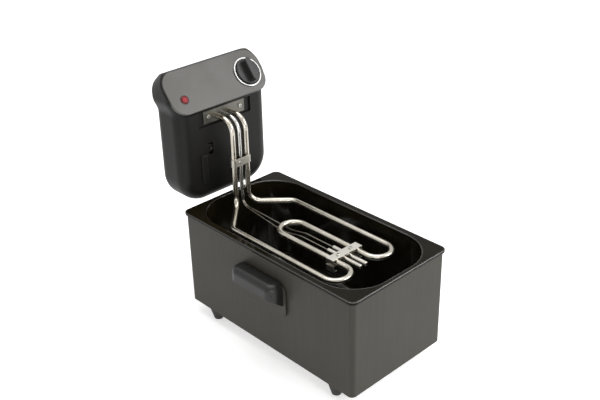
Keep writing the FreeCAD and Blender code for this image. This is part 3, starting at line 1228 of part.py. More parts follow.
make_housing()
make_bottom_plate()
make_feet()
make_tank()
make_handle(-1, "left")
make_handle(1, "right")
make_handle_screws()
make_guide()
make_guide_rivets()
make_front_cover()
make_rear_cover()
make_cover_screws()
make_top_cover()
make_panel()
make_bezel()
make_knob()
make_shaft()
make_thermostat()
make_lamp()
make_bracket()
make_element()
make_terminal_block()
make_sensor_guide()
make_capillary(-1, "thermostat_capillary")
make_capillary(1, "cutout_capillary")
make_bulbs()
make_leg_strap()
make_coil_clamp()
make_switch()
make_cutout()
make_gland()
doc.recompute()

# Every object must have been built and every piece must be a sound solid
for item in doc.Objects:
    if "Invalid" in item.State or "Error" in item.State:
        raise RuntimeError("failed: " + item.Label)
for label, item in SUBPARTS:
    if item.Shape.isNull() or not item.Shape.isValid() or not item.Shape.Solids:
        raise RuntimeError("unsound piece: " + label)

os.makedirs("parts", exist_ok=True)
for label, item in SUBPARTS:
    item.Shape.exportStep("parts/%s.step" % label)
    box = item.Shape.BoundBox
    print("%-22s %2d solid(s) %10.0f mm3  X %.1f..%.1f  Y %.1f..%.1f  Z %.1f..%.1f" % (
        label, len(item.Shape.Solids), item.Shape.Volume,
        box.XMin, box.XMax, box.YMin, box.YMax, box.ZMin, box.ZMax))
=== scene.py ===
import bmesh
import bpy
from mathutils import Matrix, Vector


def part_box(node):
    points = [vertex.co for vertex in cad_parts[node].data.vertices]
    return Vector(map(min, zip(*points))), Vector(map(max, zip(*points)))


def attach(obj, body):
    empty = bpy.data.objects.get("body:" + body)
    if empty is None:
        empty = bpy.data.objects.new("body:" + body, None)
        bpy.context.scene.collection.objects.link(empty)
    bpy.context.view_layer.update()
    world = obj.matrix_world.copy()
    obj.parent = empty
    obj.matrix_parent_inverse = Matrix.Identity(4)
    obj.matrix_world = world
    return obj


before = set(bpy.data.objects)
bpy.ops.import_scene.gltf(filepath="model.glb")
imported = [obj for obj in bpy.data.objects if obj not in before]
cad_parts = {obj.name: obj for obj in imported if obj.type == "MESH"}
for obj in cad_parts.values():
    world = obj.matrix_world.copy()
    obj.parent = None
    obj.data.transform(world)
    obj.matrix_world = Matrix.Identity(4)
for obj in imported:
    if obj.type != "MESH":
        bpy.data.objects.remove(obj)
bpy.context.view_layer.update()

# Housing
# The outer box is bent steel sheet with a dark grey satin lacquer that was sprayed on and baked.
# The raised shields behind the grips are lacquered with it.


MM = 0.001
LACQUER = ("#3c3b36", "#45433d")
STREAK_W, CLOUD_W, PEEL_W = 4.0, 60.0, 1.6
PEEL_H, SHEET_EDGE = 0.02, 0.5
UPRIGHT = (1, 1, 0.04)
COLOURS, SOFTENED = {"data_type": "RGBA"}, {"samples": 6}
GRIT = 0.55


def linear(code):
    """Linear colour of an sRGB hex code."""
    parts = [int(code[i:i + 2], 16) / 255 for i in (1, 3, 5)]
    return tuple(p / 12.92 if p <= 0.04045 else ((p + 0.055) / 1.055) ** 2.4 for p in parts) + (1.0,)


def per_mm(size):
    """Texture scale at which one feature is about this many millimetres across."""
    return 1 / (size * MM)


def add(tree, kind, settings=None, **inputs):
    """New node with its settings; each input is a value, or the node or socket that feeds it."""
    node = tree.nodes.new(kind)
    for key, value in (settings or {}).items():
        setattr(node, key, value)
    for key, value in inputs.items():
        socket = next(s for s in node.inputs
                      if s.enabled and key in (s.name.replace(" ", "_"), s.identifier))
        if isinstance(value, bpy.types.Node):
            value = next(s for s in value.outputs if s.enabled)
        if isinstance(value, bpy.types.NodeSocket):
            tree.links.new(value, socket)
        else:
            socket.default_value = value
    return node


def new_finish(name):
    """Empty material, its node tree and the piece's own coordinates."""
    finish = bpy.data.materials.new(name)
    finish.use_nodes = True
    tree = finish.node_tree
    tree.nodes.clear()
    return finish, tree, add(tree, "ShaderNodeTexCoord").outputs["Object"]


def dress(finish, *names):
    """Give CAD pieces their finish."""
    for name in names:
        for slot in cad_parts[name].material_slots:
            slot.material = finish


def dark_grey_lacquer():
    # sprayed satin lacquer: one dark tone with faint upright streaks and a soft shine over orange peel
    finish, tree, place = new_finish("dark_grey_lacquer")
    upright = add(tree, "ShaderNodeMapping", Vector=place, Scale=UPRIGHT)
    streaks = add(tree, "ShaderNodeTexNoise", Vector=upright, Scale=per_mm(STREAK_W), Detail=4,
                  Roughness=GRIT)
    clouds = add(tree, "ShaderNodeTexNoise", Vector=place, Scale=per_mm(CLOUD_W), Detail=2,
                 Roughness=GRIT)
    drift = add(tree, "ShaderNodeMapRange", Value=clouds, To_Min=0.05, To_Max=0.35)
    spread = add(tree, "ShaderNodeMath", {"operation": "MULTIPLY_ADD"}, Value=streaks, Value_001=0.6,
                 Value_002=drift)
    share = add(tree, "ShaderNodeMapRange", Value=spread, From_Min=0.3, From_Max=0.7)
    tone = add(tree, "ShaderNodeMix", COLOURS, Factor=share, A=linear(LACQUER[0]), B=linear(LACQUER[1]))
    gloss = add(tree, "ShaderNodeMapRange", Value=streaks, To_Min=0.34, To_Max=0.44)
    peel = add(tree, "ShaderNodeTexNoise", Vector=place, Scale=per_mm(PEEL_W), Detail=2, Roughness=GRIT)
    edge = add(tree, "ShaderNodeBevel", SOFTENED, Radius=SHEET_EDGE * MM)
    skin = add(tree, "ShaderNodeBump", Height=peel, Distance=PEEL_H * MM, Strength=0.5, Normal=edge)
    shader = add(tree, "ShaderNodeBsdfPrincipled", Base_Color=tone, Roughness=gloss,
                 Specular_IOR_Level=0.12, Normal=skin)
    add(tree, "ShaderNodeOutputMaterial", Surface=shader)
    return finish


dress(dark_grey_lacquer(), "housing_shell", "left_handle_shield", "right_handle_shield")

# Bottom plate, head guide and small brackets
# Plain rolled steel sheet, cut and folded. The guide is riveted to the rear wall; bracket, strap and clamp
# strips hold the heating element, and the thermostat's shaft is drawn from the same steel.


ROLL_LINE_W, FILM_W = 1.2, 25.0
ROLL_LINE_H, CUT_EDGE = 0.01, 0.25
ALONG_PLATE, ALONG_STRIP = (0.05, 1, 1), (0.08, 1, 1)


def rolled_steel(name, grain, dull, bright):
    # rolled steel: a grey metal with fine lines along it and a cloudy film; the lines are drawn coarser
    # than they are, so that they show
    finish, tree, place = new_finish(name)
    along = add(tree, "ShaderNodeMapping", Vector=place, Scale=grain)
    lines = add(tree, "ShaderNodeTexNoise", Vector=along, Scale=per_mm(ROLL_LINE_W), Detail=4,
                Roughness=GRIT)
    film = add(tree, "ShaderNodeTexNoise", Vector=place, Scale=per_mm(FILM_W), Detail=3, Roughness=GRIT)
    share = add(tree, "ShaderNodeMapRange", Value=film, From_Min=0.3, From_Max=0.75)
    tone = add(tree, "ShaderNodeMix", COLOURS, Factor=share, A=linear(dull), B=linear(bright))
    gloss = add(tree, "ShaderNodeMapRange", Value=lines, To_Min=0.24, To_Max=0.42)
    edge = add(tree, "ShaderNodeBevel", SOFTENED, Radius=CUT_EDGE * MM)
    skin = add(tree, "ShaderNodeBump", Height=lines, Distance=ROLL_LINE_H * MM, Strength=0.4, Normal=edge)
    shader = add(tree, "ShaderNodeBsdfPrincipled", Base_Color=tone, Roughness=gloss, Metallic=1.0,
                 Normal=skin)
    add(tree, "ShaderNodeOutputMaterial", Surface=shader)
    return finish


dress(rolled_steel("rolled_steel_base", ALONG_PLATE, "#8f8f8c", "#a6a5a1"), "bottom_plate", "head_guide")
# painted shade: the bracket takes a darker copy of the same rolled steel, standing in for the shade it sits
# in under the panel
dress(rolled_steel("rolled_steel_bracket", ALONG_STRIP, "#55544f", "#6a6862"), "element_bracket")
dress(rolled_steel("rolled_steel_strip", ALONG_STRIP, "#a3a097", "#bab6ab"), "leg_strap",
      "thermostat_shaft")
# painted highlight: the clamp strips take a lighter copy of the same rolled steel, standing in for the
# highlights on them
dress(rolled_steel("bright_strip", ALONG_STRIP, "#b9b6ad", "#cfccc3"), "coil_clamp_base", "coil_clamp_top")

# Feet
# Four moulded black rubber cones under the bottom plate.
# Each is held by a screw that is sunk in its end.


RUBBER = ("#242423", "#33322f")
DUST_W, RUBBER_GRAIN_W = 6.0, 0.8
RUBBER_GRAIN_H, RUBBER_EDGE = 0.03, 0.3


def foot_rubber():
    # moulded rubber: matt and nearly black, with a dusty bloom
    finish, tree, place = new_finish("foot_rubber")
    dust = add(tree, "ShaderNodeTexNoise", Vector=place, Scale=per_mm(DUST_W), Detail=4, Roughness=GRIT)
    share = add(tree, "ShaderNodeMapRange", Value=dust, From_Min=0.35, From_Max=0.8)
    tone = add(tree, "ShaderNodeMix", COLOURS, Factor=share, A=linear(RUBBER[0]), B=linear(RUBBER[1]))
    gloss = add(tree, "ShaderNodeMapRange", Value=dust, To_Min=0.62, To_Max=0.8)
    grain = add(tree, "ShaderNodeTexNoise", Vector=place, Scale=per_mm(RUBBER_GRAIN_W), Detail=2,
                Roughness=GRIT)
    edge = add(tree, "ShaderNodeBevel", SOFTENED, Radius=RUBBER_EDGE * MM)
    skin = add(tree, "ShaderNodeBump", Height=grain, Distance=RUBBER_GRAIN_H * MM, Strength=0.5,
               Normal=edge)
    shader = add(tree, "ShaderNodeBsdfPrincipled", Base_Color=tone, Roughness=gloss, Normal=skin)
    add(tree, "ShaderNodeOutputMaterial", Surface=shader)
    return finish


dress(foot_rubber(), "feet")

# Oil tank
# One deep-drawn steel pressing, fired with glossy black enamel inside and over the flange.
# Its flange hangs on the housing's top edge.


ENAMEL = ("#120f08", "#1b170e")
GLAZE_DEPTH_W, GLAZE_GLOSS_W, GLAZE_WAVE_W = 40.0, 18.0, 9.0
GLAZE_WAVE_H, ROLLED_EDGE = 0.03, 2.6
FLANGE_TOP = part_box("tank")[1][2]
FLANGE_H, RUB_FADE = 4.5, 2.0
WALL_SHINE, RUBBED_SHINE = 1.0, 0.05
# how far up the rounded edge of the flange faces where its shine begins and ends, as the normal's height
SIDE_END, EDGE_START, EDGE_STOP, FLAT_START = 0.3, 0.5, 0.93, 0.985


def black_enamel():
    # fired enamel: near black, mirror-smooth and very slightly wavy; the flat of the flange is rubbed
    # duller than the walls, while its rounded edges keep their shine
    finish, tree, place = new_finish("black_enamel")
    depth = add(tree, "ShaderNodeTexNoise", Vector=place, Scale=per_mm(GLAZE_DEPTH_W), Detail=3,
                Roughness=GRIT)
    share = add(tree, "ShaderNodeMapRange", Value=depth, From_Min=0.3, From_Max=0.75)
    tone = add(tree, "ShaderNodeMix", COLOURS, Factor=share, A=linear(ENAMEL[0]), B=linear(ENAMEL[1]))
    patches = add(tree, "ShaderNodeTexNoise", Vector=place, Scale=per_mm(GLAZE_GLOSS_W), Detail=3,
                  Roughness=GRIT)
    gloss = add(tree, "ShaderNodeMapRange", Value=patches, To_Min=0.06, To_Max=0.12)
    height = add(tree, "ShaderNodeSeparateXYZ", Vector=place).outputs["Z"]
    flange_low = FLANGE_TOP - FLANGE_H * MM
    rubbed = add(tree, "ShaderNodeMapRange", Value=height, From_Min=flange_low - RUB_FADE * MM,
                 From_Max=flange_low, To_Min=WALL_SHINE, To_Max=RUBBED_SHINE)
    edge = add(tree, "ShaderNodeBevel", SOFTENED, Radius=ROLLED_EDGE * MM)
    upward = add(tree, "ShaderNodeSeparateXYZ", Vector=edge).outputs["Z"]
    shine = add(tree, "ShaderNodeMapRange", Value=upward, From_Min=EDGE_STOP, From_Max=FLAT_START,
                To_Min=WALL_SHINE, To_Max=rubbed)
    shine = add(tree, "ShaderNodeMapRange", Value=upward, From_Min=SIDE_END, From_Max=EDGE_START,
                To_Min=rubbed, To_Max=shine)
    waves = add(tree, "ShaderNodeTexNoise", Vector=place, Scale=per_mm(GLAZE_WAVE_W), Detail=2,
                Roughness=GRIT)
    skin = add(tree, "ShaderNodeBump", Height=waves, Distance=GLAZE_WAVE_H * MM, Strength=0.35,
               Normal=edge)
    shader = add(tree, "ShaderNodeBsdfPrincipled", Base_Color=tone, Roughness=gloss,
                 Specular_IOR_Level=shine, Normal=skin)
    add(tree, "ShaderNodeOutputMaterial", Surface=shader)
    return finish


dress(black_enamel(), "tank")

# Grips and cord gland
# Hooded grips moulded in black plastic, screwed on from inside the housing.
# The gland in the back of the head is the same plastic.


TONE_W, SATIN_GRAIN_W = 30.0, 0.7
SATIN_GRAIN_H, MOULD_EDGE = 0.015, 0.4
GLOSS_BELOW, GLOSS_ABOVE = 0.05, 0.07


def satin_plastic(name, low, high, rough):
    # moulded ABS: an even colour with a satin shine that a fine grain breaks up
    finish, tree, place = new_finish(name)
    clouds = add(tree, "ShaderNodeTexNoise", Vector=place, Scale=per_mm(TONE_W), Detail=2, Roughness=GRIT)
    share = add(tree, "ShaderNodeMapRange", Value=clouds, From_Min=0.3, From_Max=0.75)
    tone = add(tree, "ShaderNodeMix", COLOURS, Factor=share, A=linear(low), B=linear(high))
    grain = add(tree, "ShaderNodeTexNoise", Vector=place, Scale=per_mm(SATIN_GRAIN_W), Detail=2,
                Roughness=GRIT)
    gloss = add(tree, "ShaderNodeMapRange", Value=grain, To_Min=rough - GLOSS_BELOW,
                To_Max=rough + GLOSS_ABOVE)
    edge = add(tree, "ShaderNodeBevel", SOFTENED, Radius=MOULD_EDGE * MM)
    skin = add(tree, "ShaderNodeBump", Height=grain, Distance=SATIN_GRAIN_H * MM, Strength=0.5,
               Normal=edge)
    shader = add(tree, "ShaderNodeBsdfPrincipled", Base_Color=tone, Roughness=gloss,
                 Specular_IOR_Level=0.35, Normal=skin)
    add(tree, "ShaderNodeOutputMaterial", Surface=shader)
    return finish


dress(satin_plastic("grip_plastic", "#171716", "#1e1e1d", 0.38), "left_handle", "right_handle",
      "cord_gland")

# Control head's case
# Front, rear and top covers are injection-moulded in black plastic, in tools with a spark-eroded grain.
# The covers are screwed together from behind.


CASE = ("#0d0d0c", "#131210")
CASE_TONE_W, PIT_W = 45.0, 0.5
PIT_H, CASE_EDGE = 0.02, 0.5


def grained_plastic():
    # grained ABS: deep black and matt, with a fine even sparkle where the light rakes over the pits
    finish, tree, place = new_finish("grained_black_plastic")
    clouds = add(tree, "ShaderNodeTexNoise", Vector=place, Scale=per_mm(CASE_TONE_W), Detail=3,
                 Roughness=GRIT)
    share = add(tree, "ShaderNodeMapRange", Value=clouds, From_Min=0.3, From_Max=0.75)
    tone = add(tree, "ShaderNodeMix", COLOURS, Factor=share, A=linear(CASE[0]), B=linear(CASE[1]))
    pits = add(tree, "ShaderNodeTexVoronoi", Vector=place, Scale=per_mm(PIT_W))
    gloss = add(tree, "ShaderNodeMapRange", Value=pits, To_Min=0.4, To_Max=0.52)
    edge = add(tree, "ShaderNodeBevel", SOFTENED, Radius=CASE_EDGE * MM)
    skin = add(tree, "ShaderNodeBump", Height=pits, Distance=PIT_H * MM, Strength=0.45, Normal=edge)
    shader = add(tree, "ShaderNodeBsdfPrincipled", Base_Color=tone, Roughness=gloss,
                 Specular_IOR_Level=0.2, Normal=skin)
    add(tree, "ShaderNodeOutputMaterial", Surface=shader)
    return finish


dress(grained_plastic(), "head_front_cover", "head_rear_cover", "head_top_cover")

# Control panel
# A grey plate that covers the whole slope of the top cover and lies in a seat there.
# It is plastic with a metallic paint, brushed across before it was cleared.


PANEL = ("#494845", "#545250")
BRUSH_W, PAINT_TONE_W = 0.8, 50.0
BRUSH_H, PANEL_EDGE = 0.008, 0.4
ACROSS = (0.03, 1, 1)


def panel_grey():
    # metallic paint: satin grey with a soft fleck and fine brushing, which is drawn coarser than it is, so
    # that it shows
    finish, tree, place = new_finish("panel_grey")
    across = add(tree, "ShaderNodeMapping", Vector=place, Scale=ACROSS)
    brushed = add(tree, "ShaderNodeTexNoise", Vector=across, Scale=per_mm(BRUSH_W), Detail=4,
                  Roughness=GRIT)
    clouds = add(tree, "ShaderNodeTexNoise", Vector=place, Scale=per_mm(PAINT_TONE_W), Detail=2,
                 Roughness=GRIT)
    share = add(tree, "ShaderNodeMapRange", Value=clouds, From_Min=0.3, From_Max=0.75)
    tone = add(tree, "ShaderNodeMix", COLOURS, Factor=share, A=linear(PANEL[0]), B=linear(PANEL[1]))
    gloss = add(tree, "ShaderNodeMapRange", Value=brushed, To_Min=0.34, To_Max=0.48)
    edge = add(tree, "ShaderNodeBevel", SOFTENED, Radius=PANEL_EDGE * MM)
    skin = add(tree, "ShaderNodeBump", Height=brushed, Distance=BRUSH_H * MM, Strength=0.4, Normal=edge)
    shader = add(tree, "ShaderNodeBsdfPrincipled", Base_Color=tone, Roughness=gloss, Metallic=0.35,
                 Normal=skin)
    add(tree, "ShaderNodeOutputMaterial", Surface=shader)
    return finish


dress(panel_grey(), "control_panel")

# Knob with its ring, and the fittings inside the head
# The thermostat knob is black plastic with a grip bar, pushed on its shaft; a bright plated ring lies round
# it on the panel. Reset button, switches, lamp holder and terminal block are plain mouldings.


PLATING = ("#9c9c9a", "#b4b4b2")
SWIRL_W, SWIRL_H, RING_EDGE = 3.0, 0.005, 0.2


def bright_plating():
    # chromium plate on plastic: a pale, sharp reflection with a slight swirl
    finish, tree, place = new_finish("bright_plating")
    swirl = add(tree, "ShaderNodeTexNoise", Vector=place, Scale=per_mm(SWIRL_W), Detail=3, Roughness=GRIT)
    share = add(tree, "ShaderNodeMapRange", Value=swirl, From_Min=0.3, From_Max=0.8)
    tone = add(tree, "ShaderNodeMix", COLOURS, Factor=share, A=linear(PLATING[0]), B=linear(PLATING[1]))
    gloss = add(tree, "ShaderNodeMapRange", Value=swirl, To_Min=0.22, To_Max=0.34)
    edge = add(tree, "ShaderNodeBevel", SOFTENED, Radius=RING_EDGE * MM)
    skin = add(tree, "ShaderNodeBump", Height=swirl, Distance=SWIRL_H * MM, Strength=0.3, Normal=edge)
    shader = add(tree, "ShaderNodeBsdfPrincipled", Base_Color=tone, Roughness=gloss, Metallic=1.0,
                 Normal=skin)
    add(tree, "ShaderNodeOutputMaterial", Surface=shader)
    return finish


dress(bright_plating(), "knob_bezel")
dress(satin_plastic("knob_plastic", "#1f1f1f", "#2a2a29", 0.36), "control_knob", "reset_button")
dress(satin_plastic("switch_plastic", "#181613", "#201d19", 0.45), "thermostat", "safety_switch",
      "thermal_cutout")
dress(satin_plastic("pale_plastic", "#cfcabd", "#dcd8cc", 0.4), "lamp_holder", "terminal_block")
dress(satin_plastic("plunger_plastic", "#26241f", "#302d28", 0.4), "switch_plunger")

# Power lamp
# A clear red plastic lens in a dark plastic rim, both pressed into the panel from the front.
# A small lamp in a holder behind lights it.


LENS = ("#8c101a", "#4a060c")
GLOW = ("#5a0408", "#c8141e", "#ff9a8c")
LENS_R, FACET_W, FACET_H, LENS_EDGE = 4.5, 1.2, 0.04, 0.3
LENS_GLOW = 0.5


def red_lens():
    # moulded acrylic: deep red that glows palest in the middle, broken up by facets behind the surface
    finish, tree, place = new_finish("red_lens")
    facets = add(tree, "ShaderNodeTexVoronoi", Vector=place, Scale=per_mm(FACET_W))
    share = add(tree, "ShaderNodeMapRange", Value=facets, From_Min=0.0, From_Max=0.8)
    tone = add(tree, "ShaderNodeMix", COLOURS, Factor=share, A=linear(LENS[0]), B=linear(LENS[1]))
    gloss = add(tree, "ShaderNodeMapRange", Value=facets, To_Min=0.12, To_Max=0.24)
    spots = [v.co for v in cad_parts["power_lamp_lens"].data.vertices]
    middle = [(min(c) + max(c)) / 2 for c in zip(*spots)]
    away = add(tree, "ShaderNodeVectorMath", {"operation": "DISTANCE"}, Vector=place, Vector_001=middle)
    inward = add(tree, "ShaderNodeMapRange", Value=away, From_Max=LENS_R * MM, To_Min=1.0, To_Max=0.0)
    rising = add(tree, "ShaderNodeMapRange", Value=inward, From_Min=0.1, From_Max=0.45)
    outer = add(tree, "ShaderNodeMix", COLOURS, Factor=rising, A=linear(GLOW[0]), B=linear(GLOW[1]))
    paling = add(tree, "ShaderNodeMapRange", Value=inward, From_Min=0.45, From_Max=0.9)
    glow = add(tree, "ShaderNodeMix", COLOURS, Factor=paling, A=outer, B=linear(GLOW[2]))
    edge = add(tree, "ShaderNodeBevel", SOFTENED, Radius=LENS_EDGE * MM)
    skin = add(tree, "ShaderNodeBump", Height=facets, Distance=FACET_H * MM, Strength=0.4, Normal=edge)
    shader = add(tree, "ShaderNodeBsdfPrincipled", Base_Color=tone, Roughness=gloss,
                 Specular_IOR_Level=0.25, Emission_Color=glow, Emission_Strength=LENS_GLOW, Normal=skin)
    add(tree, "ShaderNodeOutputMaterial", Surface=shader)
    return finish


dress(red_lens(), "power_lamp_lens")
dress(satin_plastic("lamp_rim_plastic", "#1a1212", "#241817", 0.3), "power_lamp_rim")

# Heating element and sensor guide
# Drawn steel tube, bent on formers into two legs and a coil; a thinner tube between the legs leads the
# capillaries down. The legs are held in the bracket on the head.


DRAW_LINE_W, HEAT_TINT_W, DRAW_LINE_H = 1.0, 35.0, 0.012
ALONG_TUBE = (1, 0.06, 0.2)


def drawn_tube(name, tones):
    # drawn stainless steel: a bright metal with lines along the tube, drawn coarser than they are so that
    # they show, and a slight straw tint from heat
    finish, tree, place = new_finish(name)
    along = add(tree, "ShaderNodeMapping", Vector=place, Scale=ALONG_TUBE)
    lines = add(tree, "ShaderNodeTexNoise", Vector=along, Scale=per_mm(DRAW_LINE_W), Detail=4,
                Roughness=GRIT)
    heat = add(tree, "ShaderNodeTexNoise", Vector=place, Scale=per_mm(HEAT_TINT_W), Detail=3,
               Roughness=GRIT)
    share = add(tree, "ShaderNodeMapRange", Value=heat, From_Min=0.25, From_Max=0.6)
    clean = add(tree, "ShaderNodeMix", COLOURS, Factor=share, A=linear(tones[0]), B=linear(tones[1]))
    tint = add(tree, "ShaderNodeMapRange", Value=heat, From_Min=0.6, From_Max=0.85)
    tone = add(tree, "ShaderNodeMix", COLOURS, Factor=tint, A=clean, B=linear(tones[2]))
    gloss = add(tree, "ShaderNodeMapRange", Value=lines, To_Min=0.18, To_Max=0.3)
    skin = add(tree, "ShaderNodeBump", Height=lines, Distance=DRAW_LINE_H * MM, Strength=0.5)
    shader = add(tree, "ShaderNodeBsdfPrincipled", Base_Color=tone, Roughness=gloss, Metallic=1.0,
                 Normal=skin)
    add(tree, "ShaderNodeOutputMaterial", Surface=shader)
    return finish


dress(drawn_tube("heater_tube", ("#a39d91", "#bdb8ad", "#ada392")), "heating_element")
dress(drawn_tube("guide_tube", ("#b3b2af", "#c4c3c0", "#b6b4ae")), "sensor_guide_tube")

# Capillaries and bulbs
# Thin drawn copper tube, nickel-plated, soldered into the ends of the two sensor bulbs.
# The bulbs lie beside the coil under its clamp.


WEAR_W, DENT_W, DENT_H = 12.0, 1.5, 0.01


def plated_copper(name, worn, bright):
    # nickel plate on copper: a warm grey metal, uneven where it is worn and slightly dented
    finish, tree, place = new_finish(name)
    wear = add(tree, "ShaderNodeTexNoise", Vector=place, Scale=per_mm(WEAR_W), Detail=4, Roughness=GRIT)
    share = add(tree, "ShaderNodeMapRange", Value=wear, From_Min=0.3, From_Max=0.8)
    tone = add(tree, "ShaderNodeMix", COLOURS, Factor=share, A=linear(worn), B=linear(bright))
    gloss = add(tree, "ShaderNodeMapRange", Value=wear, To_Min=0.2, To_Max=0.36)
    dents = add(tree, "ShaderNodeTexNoise", Vector=place, Scale=per_mm(DENT_W), Detail=3, Roughness=GRIT)
    skin = add(tree, "ShaderNodeBump", Height=dents, Distance=DENT_H * MM, Strength=0.4)
    shader = add(tree, "ShaderNodeBsdfPrincipled", Base_Color=tone, Roughness=gloss, Metallic=1.0,
                 Normal=skin)
    add(tree, "ShaderNodeOutputMaterial", Surface=shader)
    return finish


dress(plated_copper("plated_capillary", "#7d7a73", "#8d8578"), "thermostat_capillary", "cutout_capillary")
dress(plated_copper("plated_bulb", "#adaaa3", "#c3beb4"), "thermostat_bulb", "cutout_bulb")

# Screws, rivets and pins
# Cold-headed steel, zinc-plated. They hold feet, grips, guide, covers, bracket, strap and clamp,
# and the pins carry the current into the element.


ZINC = ("#aaa8a2", "#c9c7c0")
BLOOM_W, BLOOM_H, HEAD_EDGE = 2.5, 0.01, 0.2


def zinc_plate():
    # zinc plate: a bright metal under a cloudy bloom
    finish, tree, place = new_finish("zinc_plate")
    bloom = add(tree, "ShaderNodeTexNoise", Vector=place, Scale=per_mm(BLOOM_W), Detail=4, Roughness=GRIT)
    share = add(tree, "ShaderNodeMapRange", Value=bloom, From_Min=0.3, From_Max=0.75)
    tone = add(tree, "ShaderNodeMix", COLOURS, Factor=share, A=linear(ZINC[0]), B=linear(ZINC[1]))
    gloss = add(tree, "ShaderNodeMapRange", Value=bloom, To_Min=0.25, To_Max=0.42)
    edge = add(tree, "ShaderNodeBevel", SOFTENED, Radius=HEAD_EDGE * MM)
    skin = add(tree, "ShaderNodeBump", Height=bloom, Distance=BLOOM_H * MM, Strength=0.4, Normal=edge)
    shader = add(tree, "ShaderNodeBsdfPrincipled", Base_Color=tone, Roughness=gloss, Metallic=1.0,
                 Normal=skin)
    add(tree, "ShaderNodeOutputMaterial", Surface=shader)
    return finish


dress(zinc_plate(), "foot_screws", "handle_screws", "guide_rivets", "cover_screws", "bracket_screws",
      "element_terminals", "leg_strap_screw", "coil_clamp_screws")

# Drives in the screw heads
# Every screw that shows has a cross recess pressed into its head when it was made.
# Each is drawn as painted shade: a thin dark inlay in the flat of the head, placed on all screws of a body
# at once.


# painted shade: the two dark tones in which the hollows of the cross recesses are drawn
RECESS_SHADE = ("#1b1a18", "#3a3833")
RECESS_SHADE_W = 0.6
SAME_SPOT = 1e-6
# share of the screw's width that the cross takes up, and its arm and depth as shares of the cross
CROSS_SHARE, ARM_WIDTH, CROSS_DEPTH = 0.6, 0.24, 0.03
FORWARD, BACKWARD, UP, DOWN = (0, -1, 0), (0, 1, 0), (0, 0, 1), (0, 0, -1)


def recess_shadow():
    # grime on steel: a dark, dull hollow
    # painted shade: the hollow of the cross is drawn as a dark, dull steel with a mottled tone
    finish, tree, place = new_finish("recess_shadow")
    shade_mottle = add(tree, "ShaderNodeTexNoise", Vector=place, Scale=per_mm(RECESS_SHADE_W), Detail=3, Roughness=GRIT)
    share = add(tree, "ShaderNodeMapRange", Value=shade_mottle, From_Min=0.3, From_Max=0.8)
    tone = add(tree, "ShaderNodeMix", COLOURS, Factor=share, A=linear(RECESS_SHADE[0]), B=linear(RECESS_SHADE[1]))
    gloss = add(tree, "ShaderNodeMapRange", Value=shade_mottle, To_Min=0.45, To_Max=0.7)
    shader = add(tree, "ShaderNodeBsdfPrincipled", Base_Color=tone, Roughness=gloss, Metallic=0.6)
    add(tree, "ShaderNodeOutputMaterial", Surface=shader)
    return finish


def screw_boxes(name):
    """Boxes of the separate screws in a CAD piece, as (low, high) corners."""
    mesh = bmesh.new()
    mesh.from_mesh(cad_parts[name].data)
    mesh.transform(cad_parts[name].matrix_world)
    bmesh.ops.remove_doubles(mesh, verts=mesh.verts, dist=SAME_SPOT)
    left = set(mesh.verts)
    boxes = []
    while left:
        reached = [left.pop()]
        for vertex in reached:
            for edge in vertex.link_edges:
                other = edge.other_vert(vertex)
                if other in left:
                    left.remove(other)
                    reached.append(other)
        spots = [v.co for v in reached]
        boxes.append(tuple(Vector([pick(c[i] for c in spots) for i in range(3)]) for pick in (min, max)))
    mesh.free()
    return boxes


def cross_recesses():
    """Geometry Nodes group: a cross on every point, turned to face outward and scaled to the head."""
    group = bpy.data.node_groups.new("cross_recesses", "GeometryNodeTree")
    sockets = group.interface
    sockets.new_socket("Heads", in_out="INPUT", socket_type="NodeSocketGeometry")
    sockets.new_socket("Arm Width", in_out="INPUT", socket_type="NodeSocketFloat")
    sockets.new_socket("Depth", in_out="INPUT", socket_type="NodeSocketFloat")
    sockets.new_socket("Finish", in_out="INPUT", socket_type="NodeSocketMaterial")
    sockets.new_socket("Recesses", in_out="OUTPUT", socket_type="NodeSocketGeometry")
    given = add(group, "NodeGroupInput").outputs
    along = add(group, "ShaderNodeCombineXYZ", X=1.0, Y=given["Arm Width"], Z=given["Depth"])
    across = add(group, "ShaderNodeCombineXYZ", X=given["Arm Width"], Y=1.0, Z=given["Depth"])
    cross = add(group, "GeometryNodeJoinGeometry")
    for size in (along, across):
        arm = add(group, "GeometryNodeMeshCube", Size=size)
        group.links.new(arm.outputs["Mesh"], cross.inputs["Geometry"])
    facing = add(group, "GeometryNodeInputNamedAttribute", {"data_type": "FLOAT_VECTOR"}, Name="facing")
    reach = add(group, "GeometryNodeInputNamedAttribute", {"data_type": "FLOAT"}, Name="reach")
    turned = add(group, "FunctionNodeAlignRotationToVector", {"axis": "Z"}, Vector=facing)
    placed = add(group, "GeometryNodeInstanceOnPoints", Points=given["Heads"], Instance=cross,
                 Rotation=turned, Scale=reach)
    real = add(group, "GeometryNodeRealizeInstances", Geometry=placed)
    made = add(group, "GeometryNodeSetMaterial", Geometry=real, Material=given["Finish"])
    add(group, "NodeGroupOutput", Recesses=made)
    return group


recess_group = cross_recesses()
recess_inputs = {"Arm Width": ARM_WIDTH, "Depth": CROSS_DEPTH, "Finish": recess_shadow()}


